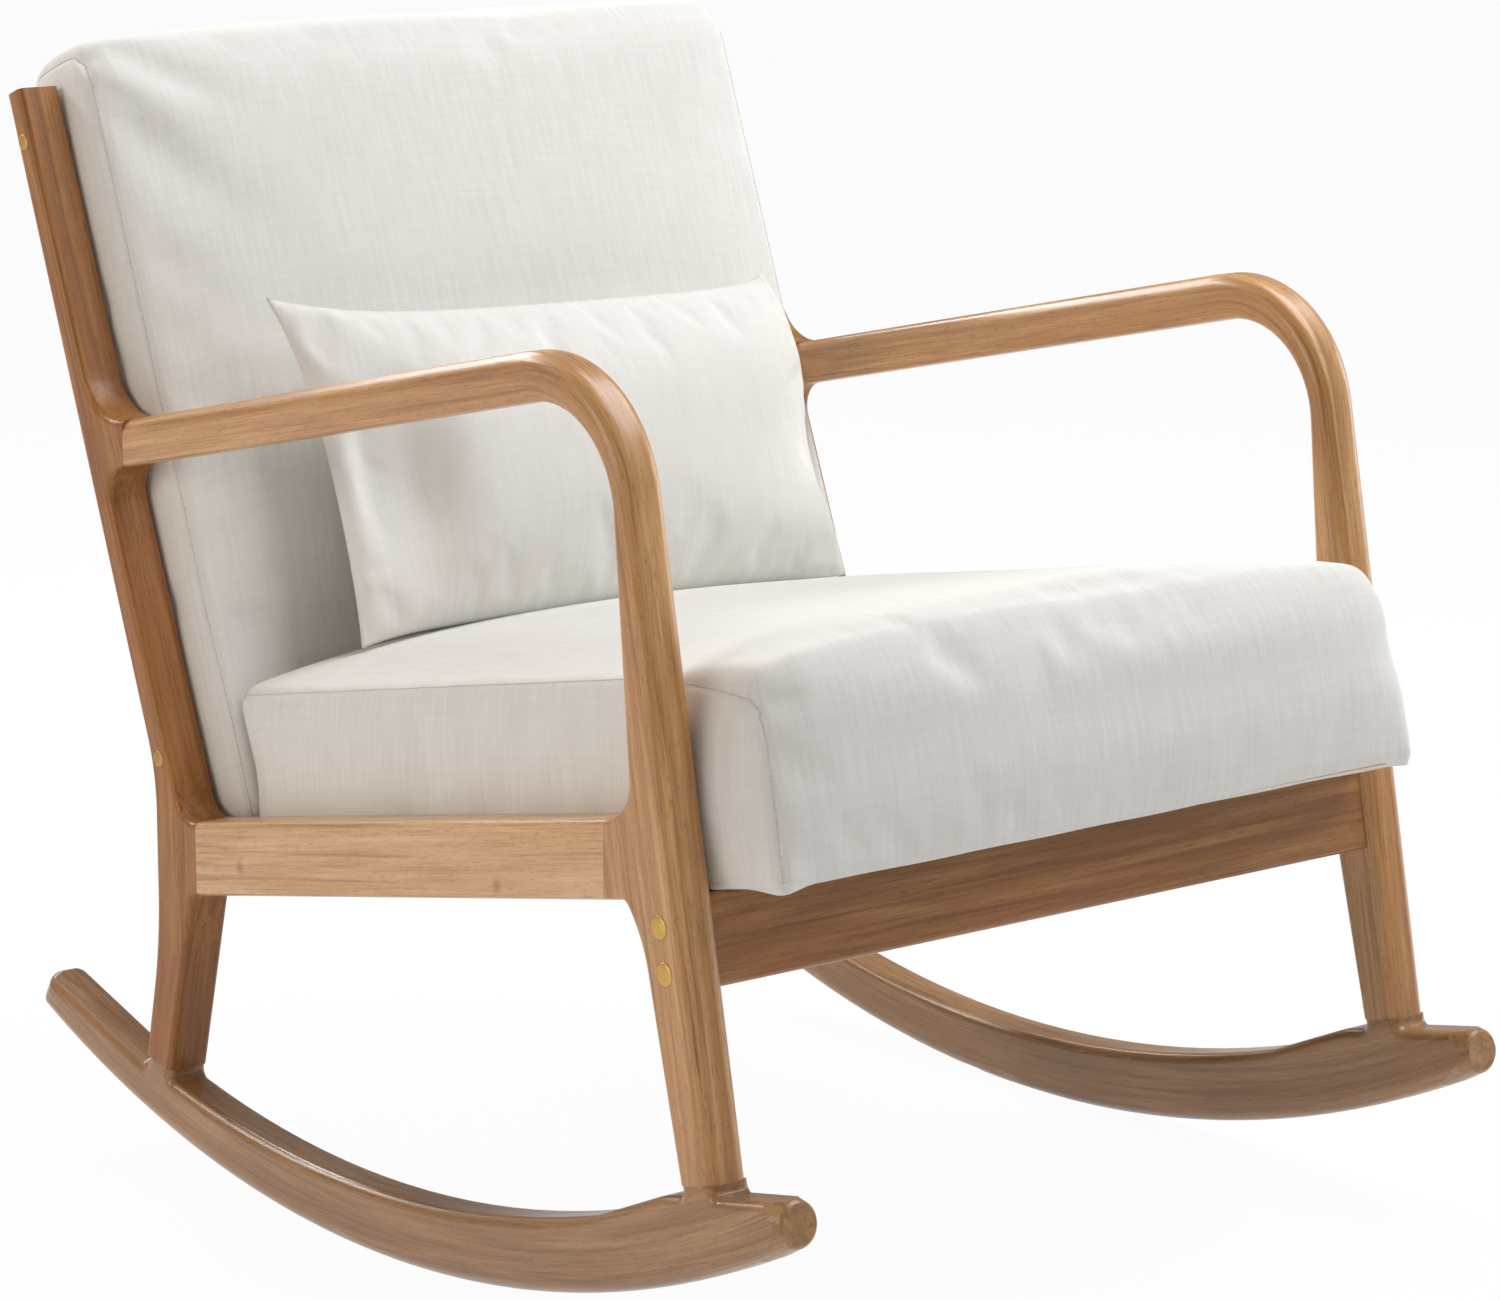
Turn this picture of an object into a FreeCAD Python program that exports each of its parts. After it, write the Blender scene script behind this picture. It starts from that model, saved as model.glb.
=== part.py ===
import FreeCAD
import Part
import Sketcher
import os
import re
from FreeCAD import Placement, Rotation, Vector

# Rocking chair: two side frames of shaped hardwood joined by an apron, a rear rail and the upholstered
# seat and back, with a loose lumbar pillow. Millimetres. X runs across the chair, a sitter faces -Y,
# and Z is up from the floor. Outlines lie in the YZ plane, with y measured from the middle of the flat
# on which the rockers stand and z from the floor. Slopes and leans are in degrees.

DIMENSIONS = {
    # side frame
    "overall_width": 660,
    "frame_thick": 34,
    "touch_y": -1.9,
    "edge_round": 5,
    "outer_round": 11,
    # side rail, sloping down to the rear
    "rail_top": 305,
    "rail_depth": 54,
    "rail_slope": 10.55,
    "rail_rear_y": 198,
    "rail_front_y": -274,
    # arm and its elbow, where it turns down into the front leg
    "arm_top": 608,
    "arm_depth": 34,
    "arm_slope": 12,
    "arm_rear_y": 281,
    "elbow_outer_radius": 100,
    "elbow_inner_radius": 70,
    "elbow_joint_z": 548,
    # rear post: leaning upright, upright stretch at the seat, leg kicked back
    "post_rear_y": 251,
    "post_bend_z": 295,
    "post_lean": 20.2,
    "post_front_y": 227,
    "post_front_lean": 20.6,
    "post_top_z": 769,
    "post_top_rise": 7,
    "post_kick_z": 170,
    "post_kick_lean": 12.5,
    "post_heel_lean": 14,
    "post_bend_radius": 150,
    "post_kick_radius": 350,
    "post_rail_fillet": 20,
    "post_under_fillet": 6,
    "post_arm_low_fillet": 21,
    "post_arm_high_fillet": 44,
    # front leg: front face, tapered rear face above the rail and heel below it
    "leg_toe_y": -407,
    "leg_rake": 10.73,
    "leg_inner_y": -331,
    "leg_inner_lean": 4.86,
    "leg_heel_y": -382.7,
    "leg_heel_lean": 14.1,
    "leg_flare_z": 285,
    "leg_flare_radius": 100,
    "leg_root_y": -294,
    "leg_root_fillet": 8,
    "leg_rail_fillet": 28,
    # rocker, with a stub that carries each leg
    "rocker_radius": 974,
    "rocker_stand": 124,
    "rocker_tail_y": 417,
    "rocker_tail_top_y": 402,
    "rocker_tail_top_z": 117.5,
    "rocker_front_y": -453,
    "rocker_nose_y": -447,
    "rocker_nose_z": 140,
    "rocker_crest_y": -330,
    "rocker_crest_radius": 60,
    "rocker_waist_y": -259,
    "rocker_waist_z": 87,
    "rocker_top_radius": 986,
    "rocker_top_round": 7,
    "rocker_end_round": 6,
    "nose_face_radius": 13.5,
    "nose_rim": 2,
    "nose_length": 36,
    "nose_root_radius": 27,
    "front_foot_rise": 53.6,
    "front_foot_slope": 11,
    "rear_foot_rise": 13.6,
    "rear_foot_slope": 12.7,
    "rear_foot_front_y": 241,
    "foot_stub": 8,
    "foot_fillet": 5,
    # cross pieces
    "apron_front": -345,
    "apron_thick": 24,
    "apron_top": -0.5,
    "apron_depth": 61,
    "bar_round": 3,
    "rear_rail_y": 221,
    "rear_rail_z": 212,
    "rear_rail_thick": 22,
    "rear_rail_depth": 46,
    # dowels, bolts, nuts, caps and screws
    "dowel_bore": 8,
    "dowel_length": 40,
    "dowel_spread": 17,
    "hole_play": 0.2,
    "bolt_size": 6,
    "bolt_reach": 66,
    "bolt_head": 10,
    "bolt_head_height": 5,
    "bolt_seat": 10,
    "apron_cap": 16,
    "post_cap": 12,
    "cap_height": 4,
    "cap_proud": 0,
    "cap_round": 0.7,
    "bolt_pitch": 30,
    "apron_bolt_drop": 18,
    "post_bolt_high_z": 737,
    "post_bolt_low_z": 307,
    "nut_bore": 10,
    "nut_length": 18,
    "nut_inset": 25,
    "insert_bore": 10,
    "insert_length": 14,
    "washer_bore": 14,
    "screw_size": 4,
    "screw_head": 8,
    "screw_length": 46,
    # seat, measured along and square to its bottom, which follows the rails
    "seat_z": 252,
    "seat_width": 586,
    "seat_front": -410,
    "seat_rear": 166,
    "seat_rear_lean": 9.25,
    "seat_side_height": 144,
    "seat_crown_height": 161,
    "seat_top_radius": 7000,
    "seat_front_radius": 44,
    "seat_side_round": 38,
    "seat_draw_in": 3,
    "cover_thick": 2,
    "seat_rail_thick": 27,
    "seat_rail_depth": 40,
    "seat_rail_low": 3,
    "block_leg": 60,
    "web_width": 50,
    "web_thick": 2,
    "dust_cover_thick": 1,
    # back, measured up and square to its rear face
    "back_y": 271.5,
    "back_z": 252.5,
    "back_lean": 19.8,
    "back_width": 584,
    "back_depth": 89,
    "back_height": 568,
    "back_flat": 100,
    "back_crown": 18,
    "back_edge_crown": 6,
    "back_edge_drop": 3,
    "back_top_radius": 30,
    "back_rear_radius": 28,
    "back_side_round": 18,
    "stile_width": 42,
    "stile_thick": 26,
    "stile_rear": 26,
    "stile_top_gap": 40,
    "panel_thick": 2,
    # lumbar pillow, about its own centre
    "pillow_x": 12,
    "pillow_y": 197,
    "pillow_z": 507,
    "pillow_tilt": 1.2,
    "pillow_width": 476,
    "pillow_height": 232,
    "pillow_ear": 252,
    "pillow_thick": 86,
    "pillow_seam": 4,
}

doc = FreeCAD.newDocument("rocking_chair")
sheet = doc.addObject("Spreadsheet::Sheet", "Dims")
for row, (alias, number) in enumerate(DIMENSIONS.items(), start=1):
    sheet.set("A%d" % row, alias)
    sheet.set("B%d" % row, str(number))
    sheet.setAlias("B%d" % row, alias)
doc.recompute()

nodes = {}


def formula(text):
    """The text with each dimension's name turned into a reference to its cell."""
    return re.sub(r"[a-z]\w*", lambda word: "Dims." * (word.group() in DIMENSIONS) + word.group(), text)


def value(text):
    return float(sheet.evalExpression(formula(text)))


def bind(piece, **sizes):
    for name, text in sizes.items():
        piece.setExpression(name, formula(text))


# Edge lines of the outlines: a flat line gives z from y, a steep one gives y from z

def flat(height, slope):
    return height, slope


def steep(place, lean):
    return place, lean


def at_y(line, y):
    height, slope = line
    return y, "(%s) + (%s) * (%s)" % (height, slope, y)


def at_z(line, z):
    place, lean = line
    return "(%s) + (%s) * (%s)" % (place, lean, z), z


def cross(flat_line, steep_line):
    height, slope = flat_line
    place, lean = steep_line
    y = "((%s) + (%s) * (%s)) / (1 - (%s) * (%s))" % (place, lean, height, lean, slope)
    return at_y(flat_line, y)


RAIL_TOP = flat("rail_top", "-tan(rail_slope)")
RAIL_BOTTOM = flat("rail_top - rail_depth", "-tan(rail_slope)")
ARM_TOP = flat("arm_top", "-tan(arm_slope)")
ARM_BOTTOM = flat("arm_top - arm_depth", "-tan(arm_slope)")
FRONT_FOOT = flat("front_foot_rise", "-tan(front_foot_slope)")
FRONT_STUB = flat("front_foot_rise + foot_stub", "-tan(front_foot_slope)")
REAR_FOOT = flat("rear_foot_rise", "tan(rear_foot_slope)")
REAR_STUB = flat("rear_foot_rise + foot_stub", "tan(rear_foot_slope)")
POST_REAR = steep("post_rear_y - tan(post_lean) * post_bend_z", "tan(post_lean)")
POST_FRONT = steep("post_front_y - tan(post_front_lean) * post_bend_z", "tan(post_front_lean)")
POST_KICK = steep("post_rear_y + tan(post_kick_lean) * post_kick_z", "-tan(post_kick_lean)")
POST_HEEL = steep("rear_foot_front_y + tan(post_heel_lean) * "
                  "(rear_foot_rise + tan(rear_foot_slope) * rear_foot_front_y)", "-tan(post_heel_lean)")
LEG_FRONT = steep("leg_toe_y", "tan(leg_rake)")
LEG_INNER = steep("leg_inner_y", "tan(leg_inner_lean)")
LEG_HEEL = steep("leg_heel_y", "tan(leg_heel_lean)")


def numbers(corners):
    return [Vector(value(y), value(z), 0) for y, z in corners]


def end_at(sketch, side, point):
    """Which end of a sketched side lies at the point."""
    return min((1, 2), key=lambda end: sketch.getPoint(side, end).distanceToPoint(point))


def outline(body, corners, arcs=None, station="0"):
    """A closed sketch in the body's YZ plane, moved along X to its station.

    arcs gives the radius of each side that is round, with a minus sign where it bulges to the right.
    """
    arcs = arcs or {}
    sketch = body.newObject("Sketcher::SketchObject", "Outline")
    plane = next(item for item in body.Origin.OriginFeatures if item.Role == "YZ_Plane")
    sketch.AttachmentSupport = (plane, [""])
    sketch.MapMode = "FlatFace"
    sketch.setExpression("AttachmentOffset.Base.z", formula(station))
    points = numbers(corners)
    count = len(points)
    for side, start in enumerate(points):
        end = points[(side + 1) % count]
        if side not in arcs:
            sketch.addGeometry(Part.LineSegment(start, end))
            continue
        turn = -1 if arcs[side].startswith("-") else 1
        radius = value(arcs[side].lstrip("-"))
        run = end - start
        sagitta = radius - (radius ** 2 - (run.Length / 2) ** 2) ** 0.5
        left = Vector(-run.y, run.x, 0).normalize()
        middle = (start + end) / 2 + left * (turn * sagitta)
        sketch.addGeometry(Part.Arc(start, middle, end))
    for side, start in enumerate(points):
        before = (side - 1) % count
        here = end_at(sketch, side, start)
        there = end_at(sketch, before, start)
        sketch.addConstraint(Sketcher.Constraint("Coincident", before, there, side, here))
        for kind, text, number in (("DistanceX", corners[side][0], start.x),
                                   ("DistanceY", corners[side][1], start.y)):
            index = sketch.addConstraint(Sketcher.Constraint(kind, -1, 1, side, here, number))
            sketch.setExpression("Constraints[%d]" % index, formula(text))
    for side, text in arcs.items():
        radius_text = text.lstrip("-")
        index = sketch.addConstraint(Sketcher.Constraint("Radius", side, value(radius_text)))
        sketch.setExpression("Constraints[%d]" % index, formula(radius_text))
    return sketch


def corner_edges(shape, corner):
    """Edges that run along X through an outline corner."""
    found = []
    for index, edge in enumerate(shape.Edges, start=1):
        ends = [Vector(vertex.Y, vertex.Z, 0) for vertex in edge.Vertexes]
        if all(end.distanceToPoint(corner) < 0.01 for end in ends):
            found.append("Edge%d" % index)
    return found


def rim_edges(shape, curves, sides, half):
    """Edges of the two side faces that follow the given sides of the outline."""
    found = []
    for index, edge in enumerate(shape.Edges, start=1):
        if edge.BoundBox.XLength > 0.01 or abs(abs(edge.Vertexes[0].X) - half) > 0.01:
            continue
        middle = edge.valueAt((edge.FirstParameter + edge.LastParameter) / 2)
        spot = Part.Vertex(middle.y, middle.z, 0)
        spans = [curve.distToShape(spot)[0] for curve in curves]
        if spans.index(min(spans)) in sides:
            found.append("Edge%d" % index)
    return found


def soften(body, radius, edges):
    """A fillet on the body's last feature."""
    last = body.Tip
    fillet = body.newObject("PartDesign::Fillet", "Round")
    fillet.Base = (last, edges)
    bind(fillet, Radius=radius)
    doc.recompute()


def member(name, corners, thick="frame_thick", arcs=None, rounds=None, rims=()):
    """A piece cut to an outline from stock of one thickness, with round corners and eased rims."""
    body = doc.addObject("PartDesign::Body", name + "_blank")
    sketch = outline(body, corners, arcs)
    pad = body.newObject("PartDesign::Pad", "Stock")
    pad.Profile = sketch
    pad.SideType = "Symmetric"
    bind(pad, Length=thick)
    doc.recompute()
    points = numbers(corners)
    for corner, radius in (rounds or {}).items():
        soften(body, radius, corner_edges(body.Shape, points[corner]))
    curves = [curve.toShape() for curve in sketch.Geometry]
    for sides, radius in rims:
        soften(body, radius, rim_edges(body.Shape, curves, sides, value(thick) / 2))
    return body


def loft(name, sections):
    """A soft form through sections, each with its station, corners and arcs."""
    body = doc.addObject("PartDesign::Body", name)
    sketches = [outline(body, corners, arcs, station) for station, corners, arcs in sections]
    doc.recompute()
    skin = body.newObject("PartDesign::AdditiveLoft", "Skin")
    skin.Profile = sketches[0]
    skin.Sections = sketches[1:]
    doc.recompute()
    return body


def box(name, place, frame, **sizes):
    piece = doc.addObject("Part::Box", name)
    bind(piece, **sizes)
    piece.Placement = frame * Placement(place, Rotation())
    return piece


def rod(name, diameter, length, start, direction):
    piece = doc.addObject("Part::Cylinder", name)
    bind(piece, Radius="(%s) / 2" % diameter, Height=length)
    piece.Placement = Placement(start, Rotation(Vector(0, 0, 1), direction))
    return piece


def taper(name, first, last, length, start, direction):
    piece = doc.addObject("Part::Cone", name)
    bind(piece, Radius1=first, Radius2=last, Height=length)
    piece.Placement = Placement(start, Rotation(Vector(0, 0, 1), direction))
    return piece


def group(name, pieces):
    whole = doc.addObject("Part::Compound", name)
    whole.Links = pieces
    return whole


def joined(name, pieces):
    whole = doc.addObject("Part::MultiFuse", name)
    whole.Shapes = pieces
    return whole


def cut(name, base, tools):
    whole = doc.addObject("Part::Cut", name)
    whole.Base = base
    whole.Tool = group(name + "_tools", tools)
    return whole


def keep(label, piece):
    """Enters a finished sub-part under the name of its node."""
    piece.Label = label
    nodes[label] = piece


TOUCH = Placement(Vector(0, value("touch_y"), 0), Rotation())
SEAT = Placement(Vector(0, value("touch_y"), value("seat_z")),
                 Rotation(Vector(1, 0, 0), -value("rail_slope")))
BACK = Placement(Vector(0, value("touch_y + back_y"), value("back_z")),
                 Rotation(Vector(1, 0, 0), -value("back_lean")))
PILLOW = Placement(Vector(value("pillow_x"), value("touch_y + pillow_y"), value("pillow_z")),
                   Rotation(Vector(1, 0, 0), -value("back_lean"))
                   * Rotation(Vector(0, 1, 0), value("pillow_tilt")))
FRAME_X = value("(overall_width - frame_thick) / 2")
OUTER_X = value("overall_width / 2")
INNER_X = value("overall_width / 2 - frame_thick")
SIDES = (("left", 1), ("right", -1))


def mid(first, second):
    ends = numbers((first, second))
    centre = (ends[0] + ends[1]) / 2
    return Vector(0, centre.x, centre.y)


def along(slope):
    """Direction that rises towards the front by the slope."""
    return Rotation(Vector(1, 0, 0), -value(slope)).multVec(Vector(0, 1, 0))


def square_to(slope):
    return Rotation(Vector(1, 0, 0), -value(slope)).multVec(Vector(0, 0, 1))


FRONT_SEAT = (cross(FRONT_STUB, LEG_FRONT), cross(FRONT_STUB, LEG_HEEL))
REAR_SEAT = (cross(REAR_STUB, POST_HEEL), cross(REAR_STUB, POST_KICK))
ELBOW_ENDS = (at_z(LEG_FRONT, "elbow_joint_z"), at_z(LEG_INNER, "elbow_joint_z"))


def ends_at(y, top, bottom):
    return at_y(top, y), at_y(bottom, y)


# Where each dowelled joint lies in the side frame, and which way its dowels run
JOINTS = {
    "arm_post": (mid(*ends_at("arm_rear_y", ARM_TOP, ARM_BOTTOM)), along("arm_slope")),
    "elbow": (mid(*ELBOW_ENDS), square_to("(leg_rake + leg_inner_lean) / 2")),
    "rail_post": (mid(*ends_at("rail_rear_y", RAIL_TOP, RAIL_BOTTOM)), along("rail_slope")),
    "rail_leg": (mid(*ends_at("rail_front_y", RAIL_TOP, RAIL_BOTTOM)), along("rail_slope")),
    "front_foot": (mid(*FRONT_SEAT), square_to("front_foot_slope")),
    "rear_foot": (mid(*REAR_SEAT), square_to("-rear_foot_slope")),
}


def pair(joint, sign, diameter, length):
    """Two rods side by side across a joint of one side frame."""
    place, direction = JOINTS[joint]
    rods = []
    for across in (-0.5, 0.5):
        x = sign * FRAME_X + across * value("dowel_spread")
        start = TOUCH.multVec(Vector(x, place.y, place.z)) - direction * (value(length) / 2)
        rods.append(rod(joint, diameter, length, start, direction))
    return rods


def dowels(joint, sign):
    return pair(joint, sign, "dowel_bore", "dowel_length")


def dowel_holes(joint, sign):
    return pair(joint, sign, "dowel_bore + hole_play", "dowel_length + 2")


# Bolt axes run along X: two at each end of the apron, one high and one low on each post

APRON_BOLTS = [SEAT.multVec(Vector(0, value("apron_front + apron_thick / 2"),
                                   value("-apron_bolt_drop - bolt_pitch * %d" % index)))
               for index in (0, 1)]


def post_middle(z):
    rear, front = numbers((at_z(POST_REAR, z), at_z(POST_FRONT, z)))
    return TOUCH.multVec(Vector(0, (rear.x + front.x) / 2, value(z)))


POST_BOLTS = [post_middle("post_bolt_high_z"), post_middle("post_bolt_low_z")]


def inward(name, sign, place, depth, diameter, length):
    """A rod along X that starts at a depth below the frame's outer face and runs inwards."""
    start = Vector(sign * (OUTER_X - depth), place.y, place.z)
    return rod(name, diameter, length, start, Vector(-sign, 0, 0))


BOLT_WAY = "bolt_size + hole_play"


def bolt_way(sign, place):
    return inward("bolt_way", sign, place, 0, BOLT_WAY, "bolt_reach + bolt_seat + 2")


def bolt_holes(sign, places, cap):
    tools = []
    for place in places:
        tools.append(inward("cap_seat", sign, place, 0, cap + " + hole_play", "bolt_seat"))
        tools.append(bolt_way(sign, place))
    return tools


def bolt(sign, place):
    sunk = value("bolt_seat - bolt_head_height")
    head = inward("bolt_head", sign, place, sunk, "bolt_head", "bolt_head_height")
    shank = inward("bolt_shank", sign, place, value("bolt_seat - 1"), "bolt_size", "bolt_reach + 1")
    return joined("bolt", [head, shank])


def cap(sign, place, diameter):
    """A turned cap with a rounded rim, pressed over a bolt head."""
    blank = inward("cap_blank", sign, place, -value("cap_proud"), diameter, "cap_height")
    doc.recompute()
    near = value("cap_height / 4")
    rim = next(index for index, edge in enumerate(blank.Shape.Edges, start=1)
               if edge.BoundBox.XLength < 0.01 and abs(abs(edge.Vertexes[0].X) - OUTER_X) < near)
    rounded = doc.addObject("Part::Fillet", "cap")
    rounded.Base = blank
    rounded.Edges = [(rim, value("cap_round"), value("cap_round"))]
    return rounded


def sleeve(name, diameter, length, start, direction, bore):
    outer = rod(name, diameter, length, start, direction)
    inner = rod(name + "_bore", bore, length + " + 2", start - direction, direction)
    return cut(name + "_sleeve", outer, [inner])


# Wooden side frames

POST_CORNERS = [
    at_z(POST_REAR, "post_top_z"),
    ("post_rear_y", "post_bend_z"),
    ("post_rear_y", "post_kick_z"),
    cross(REAR_STUB, POST_KICK),
    cross(REAR_STUB, POST_HEEL),
    cross(RAIL_BOTTOM, POST_HEEL),
    at_y(RAIL_BOTTOM, "rail_rear_y"),
    at_y(RAIL_TOP, "rail_rear_y"),
    cross(RAIL_TOP, POST_FRONT),
    cross(ARM_BOTTOM, POST_FRONT),
    at_y(ARM_BOTTOM, "arm_rear_y"),
    at_y(ARM_TOP, "arm_rear_y"),
    cross(ARM_TOP, POST_FRONT),
    at_z(POST_FRONT, "post_top_z + post_top_rise"),
]
POST_ROUNDS = {
    1: "post_bend_radius",
    2: "post_kick_radius",
    5: "post_under_fillet",
    8: "post_rail_fillet",
    9: "post_arm_low_fillet",
    12: "post_arm_high_fillet",
}
ARM_CORNERS = [
    at_y(ARM_TOP, "arm_rear_y"),
    cross(ARM_TOP, LEG_FRONT),
    at_z(LEG_FRONT, "elbow_joint_z"),
    at_z(LEG_INNER, "elbow_joint_z"),
    cross(ARM_BOTTOM, LEG_INNER),
    at_y(ARM_BOTTOM, "arm_rear_y"),
]
LEG_CORNERS = [
    at_z(LEG_FRONT, "elbow_joint_z"),
    cross(FRONT_STUB, LEG_FRONT),
    cross(FRONT_STUB, LEG_HEEL),
    at_z(LEG_HEEL, "leg_flare_z"),
    at_y(RAIL_BOTTOM, "leg_root_y"),
    at_y(RAIL_BOTTOM, "rail_front_y"),
    at_y(RAIL_TOP, "rail_front_y"),
    cross(RAIL_TOP, LEG_INNER),
    at_z(LEG_INNER, "elbow_joint_z"),
]
LEG_ROUNDS = {3: "leg_flare_radius", 4: "leg_root_fillet", 7: "leg_rail_fillet"}
RAIL_CORNERS = [
    at_y(RAIL_TOP, "rail_rear_y"),
    at_y(RAIL_BOTTOM, "rail_rear_y"),
    at_y(RAIL_BOTTOM, "rail_front_y"),
    at_y(RAIL_TOP, "rail_front_y"),
]


def on_tread(y):
    """A point on the rolling edge, which dips below the floor until its flat is planed."""
    return y, "sqrt(rocker_radius ^ 2 - (rocker_stand / 2) ^ 2) - sqrt(rocker_radius ^ 2 - (%s) ^ 2)" % y


ROCKER_CORNERS = [
    ("rocker_tail_top_y", "rocker_tail_top_z"),
    on_tread("rocker_tail_y"),
    on_tread("rocker_front_y"),
    ("rocker_nose_y", "rocker_nose_z"),
    cross(FRONT_FOOT, LEG_FRONT),
    cross(FRONT_STUB, LEG_FRONT),
    cross(FRONT_STUB, LEG_HEEL),
    cross(FRONT_FOOT, LEG_HEEL),
    at_y(FRONT_FOOT, "rocker_crest_y"),
    ("rocker_waist_y", "rocker_waist_z"),
    cross(REAR_FOOT, POST_HEEL),
    cross(REAR_STUB, POST_HEEL),
    cross(REAR_STUB, POST_KICK),
    cross(REAR_FOOT, POST_KICK),
]
TREAD = 1
NOSE = 2
WAIST = 9
ROCKER_ROUNDS = {
    0: "rocker_end_round",
    1: "rocker_end_round",
    4: "foot_fillet",
    7: "foot_fillet",
    8: "rocker_crest_radius",
    10: "foot_fillet",
    13: "foot_fillet",
}
ROCKER_TOP_SIDES = {3, 4, 6, 7, 8, 9, 10, 12, 13}


def rear_rail_dowels(sign, diameter, length):
    """Two rods along X, one above the other, where the rear rail meets a post."""
    rods = []
    for share in (0.27, 0.73):
        place = Vector(sign * INNER_X, value("touch_y + rear_rail_y + rear_rail_thick / 2"),
                       value("rear_rail_z + rear_rail_depth * %g" % share))
        start = place + Vector(sign * value(length) / 2, 0, 0)
        rods.append(rod("rear_rail_dowel", diameter, length, start, Vector(-sign, 0, 0)))
    return rods


def rear_rail_holes(sign):
    return rear_rail_dowels(sign, "dowel_bore + hole_play", "dowel_length + 2")


SCREW_STATIONS = (-250, -80, 90)


def screw_start(sign, station):
    """Where a seat screw's head lies, on the inner face of the seat's side rail."""
    inner = value("seat_width / 2 - cover_thick - seat_rail_thick")
    return SEAT.multVec(Vector(sign * inner, station, value("seat_rail_low + seat_rail_depth / 2")))


def screw_holes(sign, diameter):
    return [rod("screw_way", diameter, "screw_length + 2", screw_start(sign, station) - Vector(sign, 0, 0),
                Vector(sign, 0, 0)) for station in SCREW_STATIONS]


def placed(blank, sign):
    blank.Placement = Placement(Vector(sign * FRAME_X, 0, 0), Rotation()) * TOUCH
    return blank


def nose_way(sign):
    """What is taken off round the rocker's nose, which tapers to a round face with an eased rim."""
    low, high = numbers(ROCKER_CORNERS[NOSE:NOSE + 2])
    rise = (high - low).normalize()
    back = Vector(0, rise.y, -rise.x)
    face = TOUCH.multVec(mid(*ROCKER_CORNERS[NOSE:NOSE + 2])) + Vector(sign * FRAME_X, 0, 0)
    start = face - back
    rim = taper("nose_rim", "nose_face_radius - 1", "nose_face_radius + nose_rim", "nose_rim + 1",
                start, back)
    flank = taper("nose_flank", "nose_face_radius + nose_rim", "nose_root_radius", "nose_length - nose_rim",
                  face + back * value("nose_rim"), back)
    stock = rod("nose_stock", "4 * nose_root_radius", "nose_length + 1", start, back)
    return cut("nose_way", stock, [rim, flank])


def side_frame(side, sign):
    post = member("rear_post_" + side, POST_CORNERS, rounds=POST_ROUNDS,
                  rims=[({0, 1, 2, 4, 5, 7, 8, 9, 11, 12}, "edge_round")])
    tools = [tool for joint in ("arm_post", "rail_post", "rear_foot") for tool in dowel_holes(joint, sign)]
    tools += bolt_holes(sign, POST_BOLTS, "post_cap")
    tools += rear_rail_holes(sign)
    keep("rear_post_" + side, cut("rear_post", placed(post, sign), tools))

    arm = member("arm_" + side, ARM_CORNERS, rounds={1: "elbow_outer_radius", 4: "elbow_inner_radius"},
                 rims=[({0, 1}, "outer_round"), ({3, 4}, "edge_round")])
    tools = dowel_holes("arm_post", sign) + dowel_holes("elbow", sign)
    keep("arm_" + side, cut("arm", placed(arm, sign), tools))

    leg = member("front_leg_" + side, LEG_CORNERS, rounds=LEG_ROUNDS,
                 rims=[({0}, "outer_round"), ({2, 3, 4, 6, 7}, "edge_round")])
    tools = [tool for joint in ("elbow", "rail_leg", "front_foot") for tool in dowel_holes(joint, sign)]
    tools += bolt_holes(sign, APRON_BOLTS, "apron_cap")
    keep("front_leg_" + side, cut("front_leg", placed(leg, sign), tools))

    rail = member("side_rail_" + side, RAIL_CORNERS, rims=[({1, 3}, "edge_round")])
    tools = dowel_holes("rail_post", sign) + dowel_holes("rail_leg", sign)
    tools += screw_holes(sign, "screw_size + hole_play")
    keep("side_rail_" + side, cut("side_rail", placed(rail, sign), tools))

    rocker = member("rocker_" + side, ROCKER_CORNERS, rounds=ROCKER_ROUNDS,
                    arcs={TREAD: "rocker_radius", WAIST: "-rocker_top_radius"},
                    rims=[({TREAD}, "outer_round"), (ROCKER_TOP_SIDES, "rocker_top_round")])
    tools = dowel_holes("front_foot", sign) + dowel_holes("rear_foot", sign)
    tools.append(box("flat_way", Vector(-OUTER_X, -value("rocker_stand"), -value("foot_stub")), TOUCH,
                     Length="overall_width", Width="2 * rocker_stand", Height="foot_stub"))
    tools.append(nose_way(sign))
    keep("rocker_" + side, cut("rocker", placed(rocker, sign), tools))


for side, sign in SIDES:
    side_frame(side, sign)

for name, ends in (("arm_dowels", ("arm_post", "elbow")),
                   ("side_rail_dowels", ("rail_post", "rail_leg")),
                   ("rocker_dowels", ("front_foot", "rear_foot"))):
    rods = [piece for _, sign in SIDES for joint in ends for piece in dowels(joint, sign)]
    keep(name, group(name, rods))
rods = [piece for _, sign in SIDES for piece in rear_rail_dowels(sign, "dowel_bore", "dowel_length")]
keep("rear_rail_dowels", group("rear_rail_dowels", rods))


# Cross pieces between the side frames

INSIDE = "overall_width - 2 * frame_thick"


def rectangle(rear, front, low, high):
    return [(rear, low), (front, low), (front, high), (rear, high)]


def nut_start(sign, place):
    """Rear end of a barrel nut, which lies square across a bolt in the apron."""
    axis = SEAT.Rotation.multVec(Vector(0, 1, 0))
    middle = Vector(sign * (INNER_X - value("nut_inset")), place.y, place.z)
    return middle + axis * value("nut_length / 2"), -axis


def bar(name, corners, frame):
    """A cross piece between the side frames with its four long edges eased."""
    stock = member(name, corners, thick=INSIDE)
    soften(stock, "bar_round", [edge for corner in numbers(corners)
                                for edge in corner_edges(stock.Shape, corner)])
    stock.Placement = frame
    return stock


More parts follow.
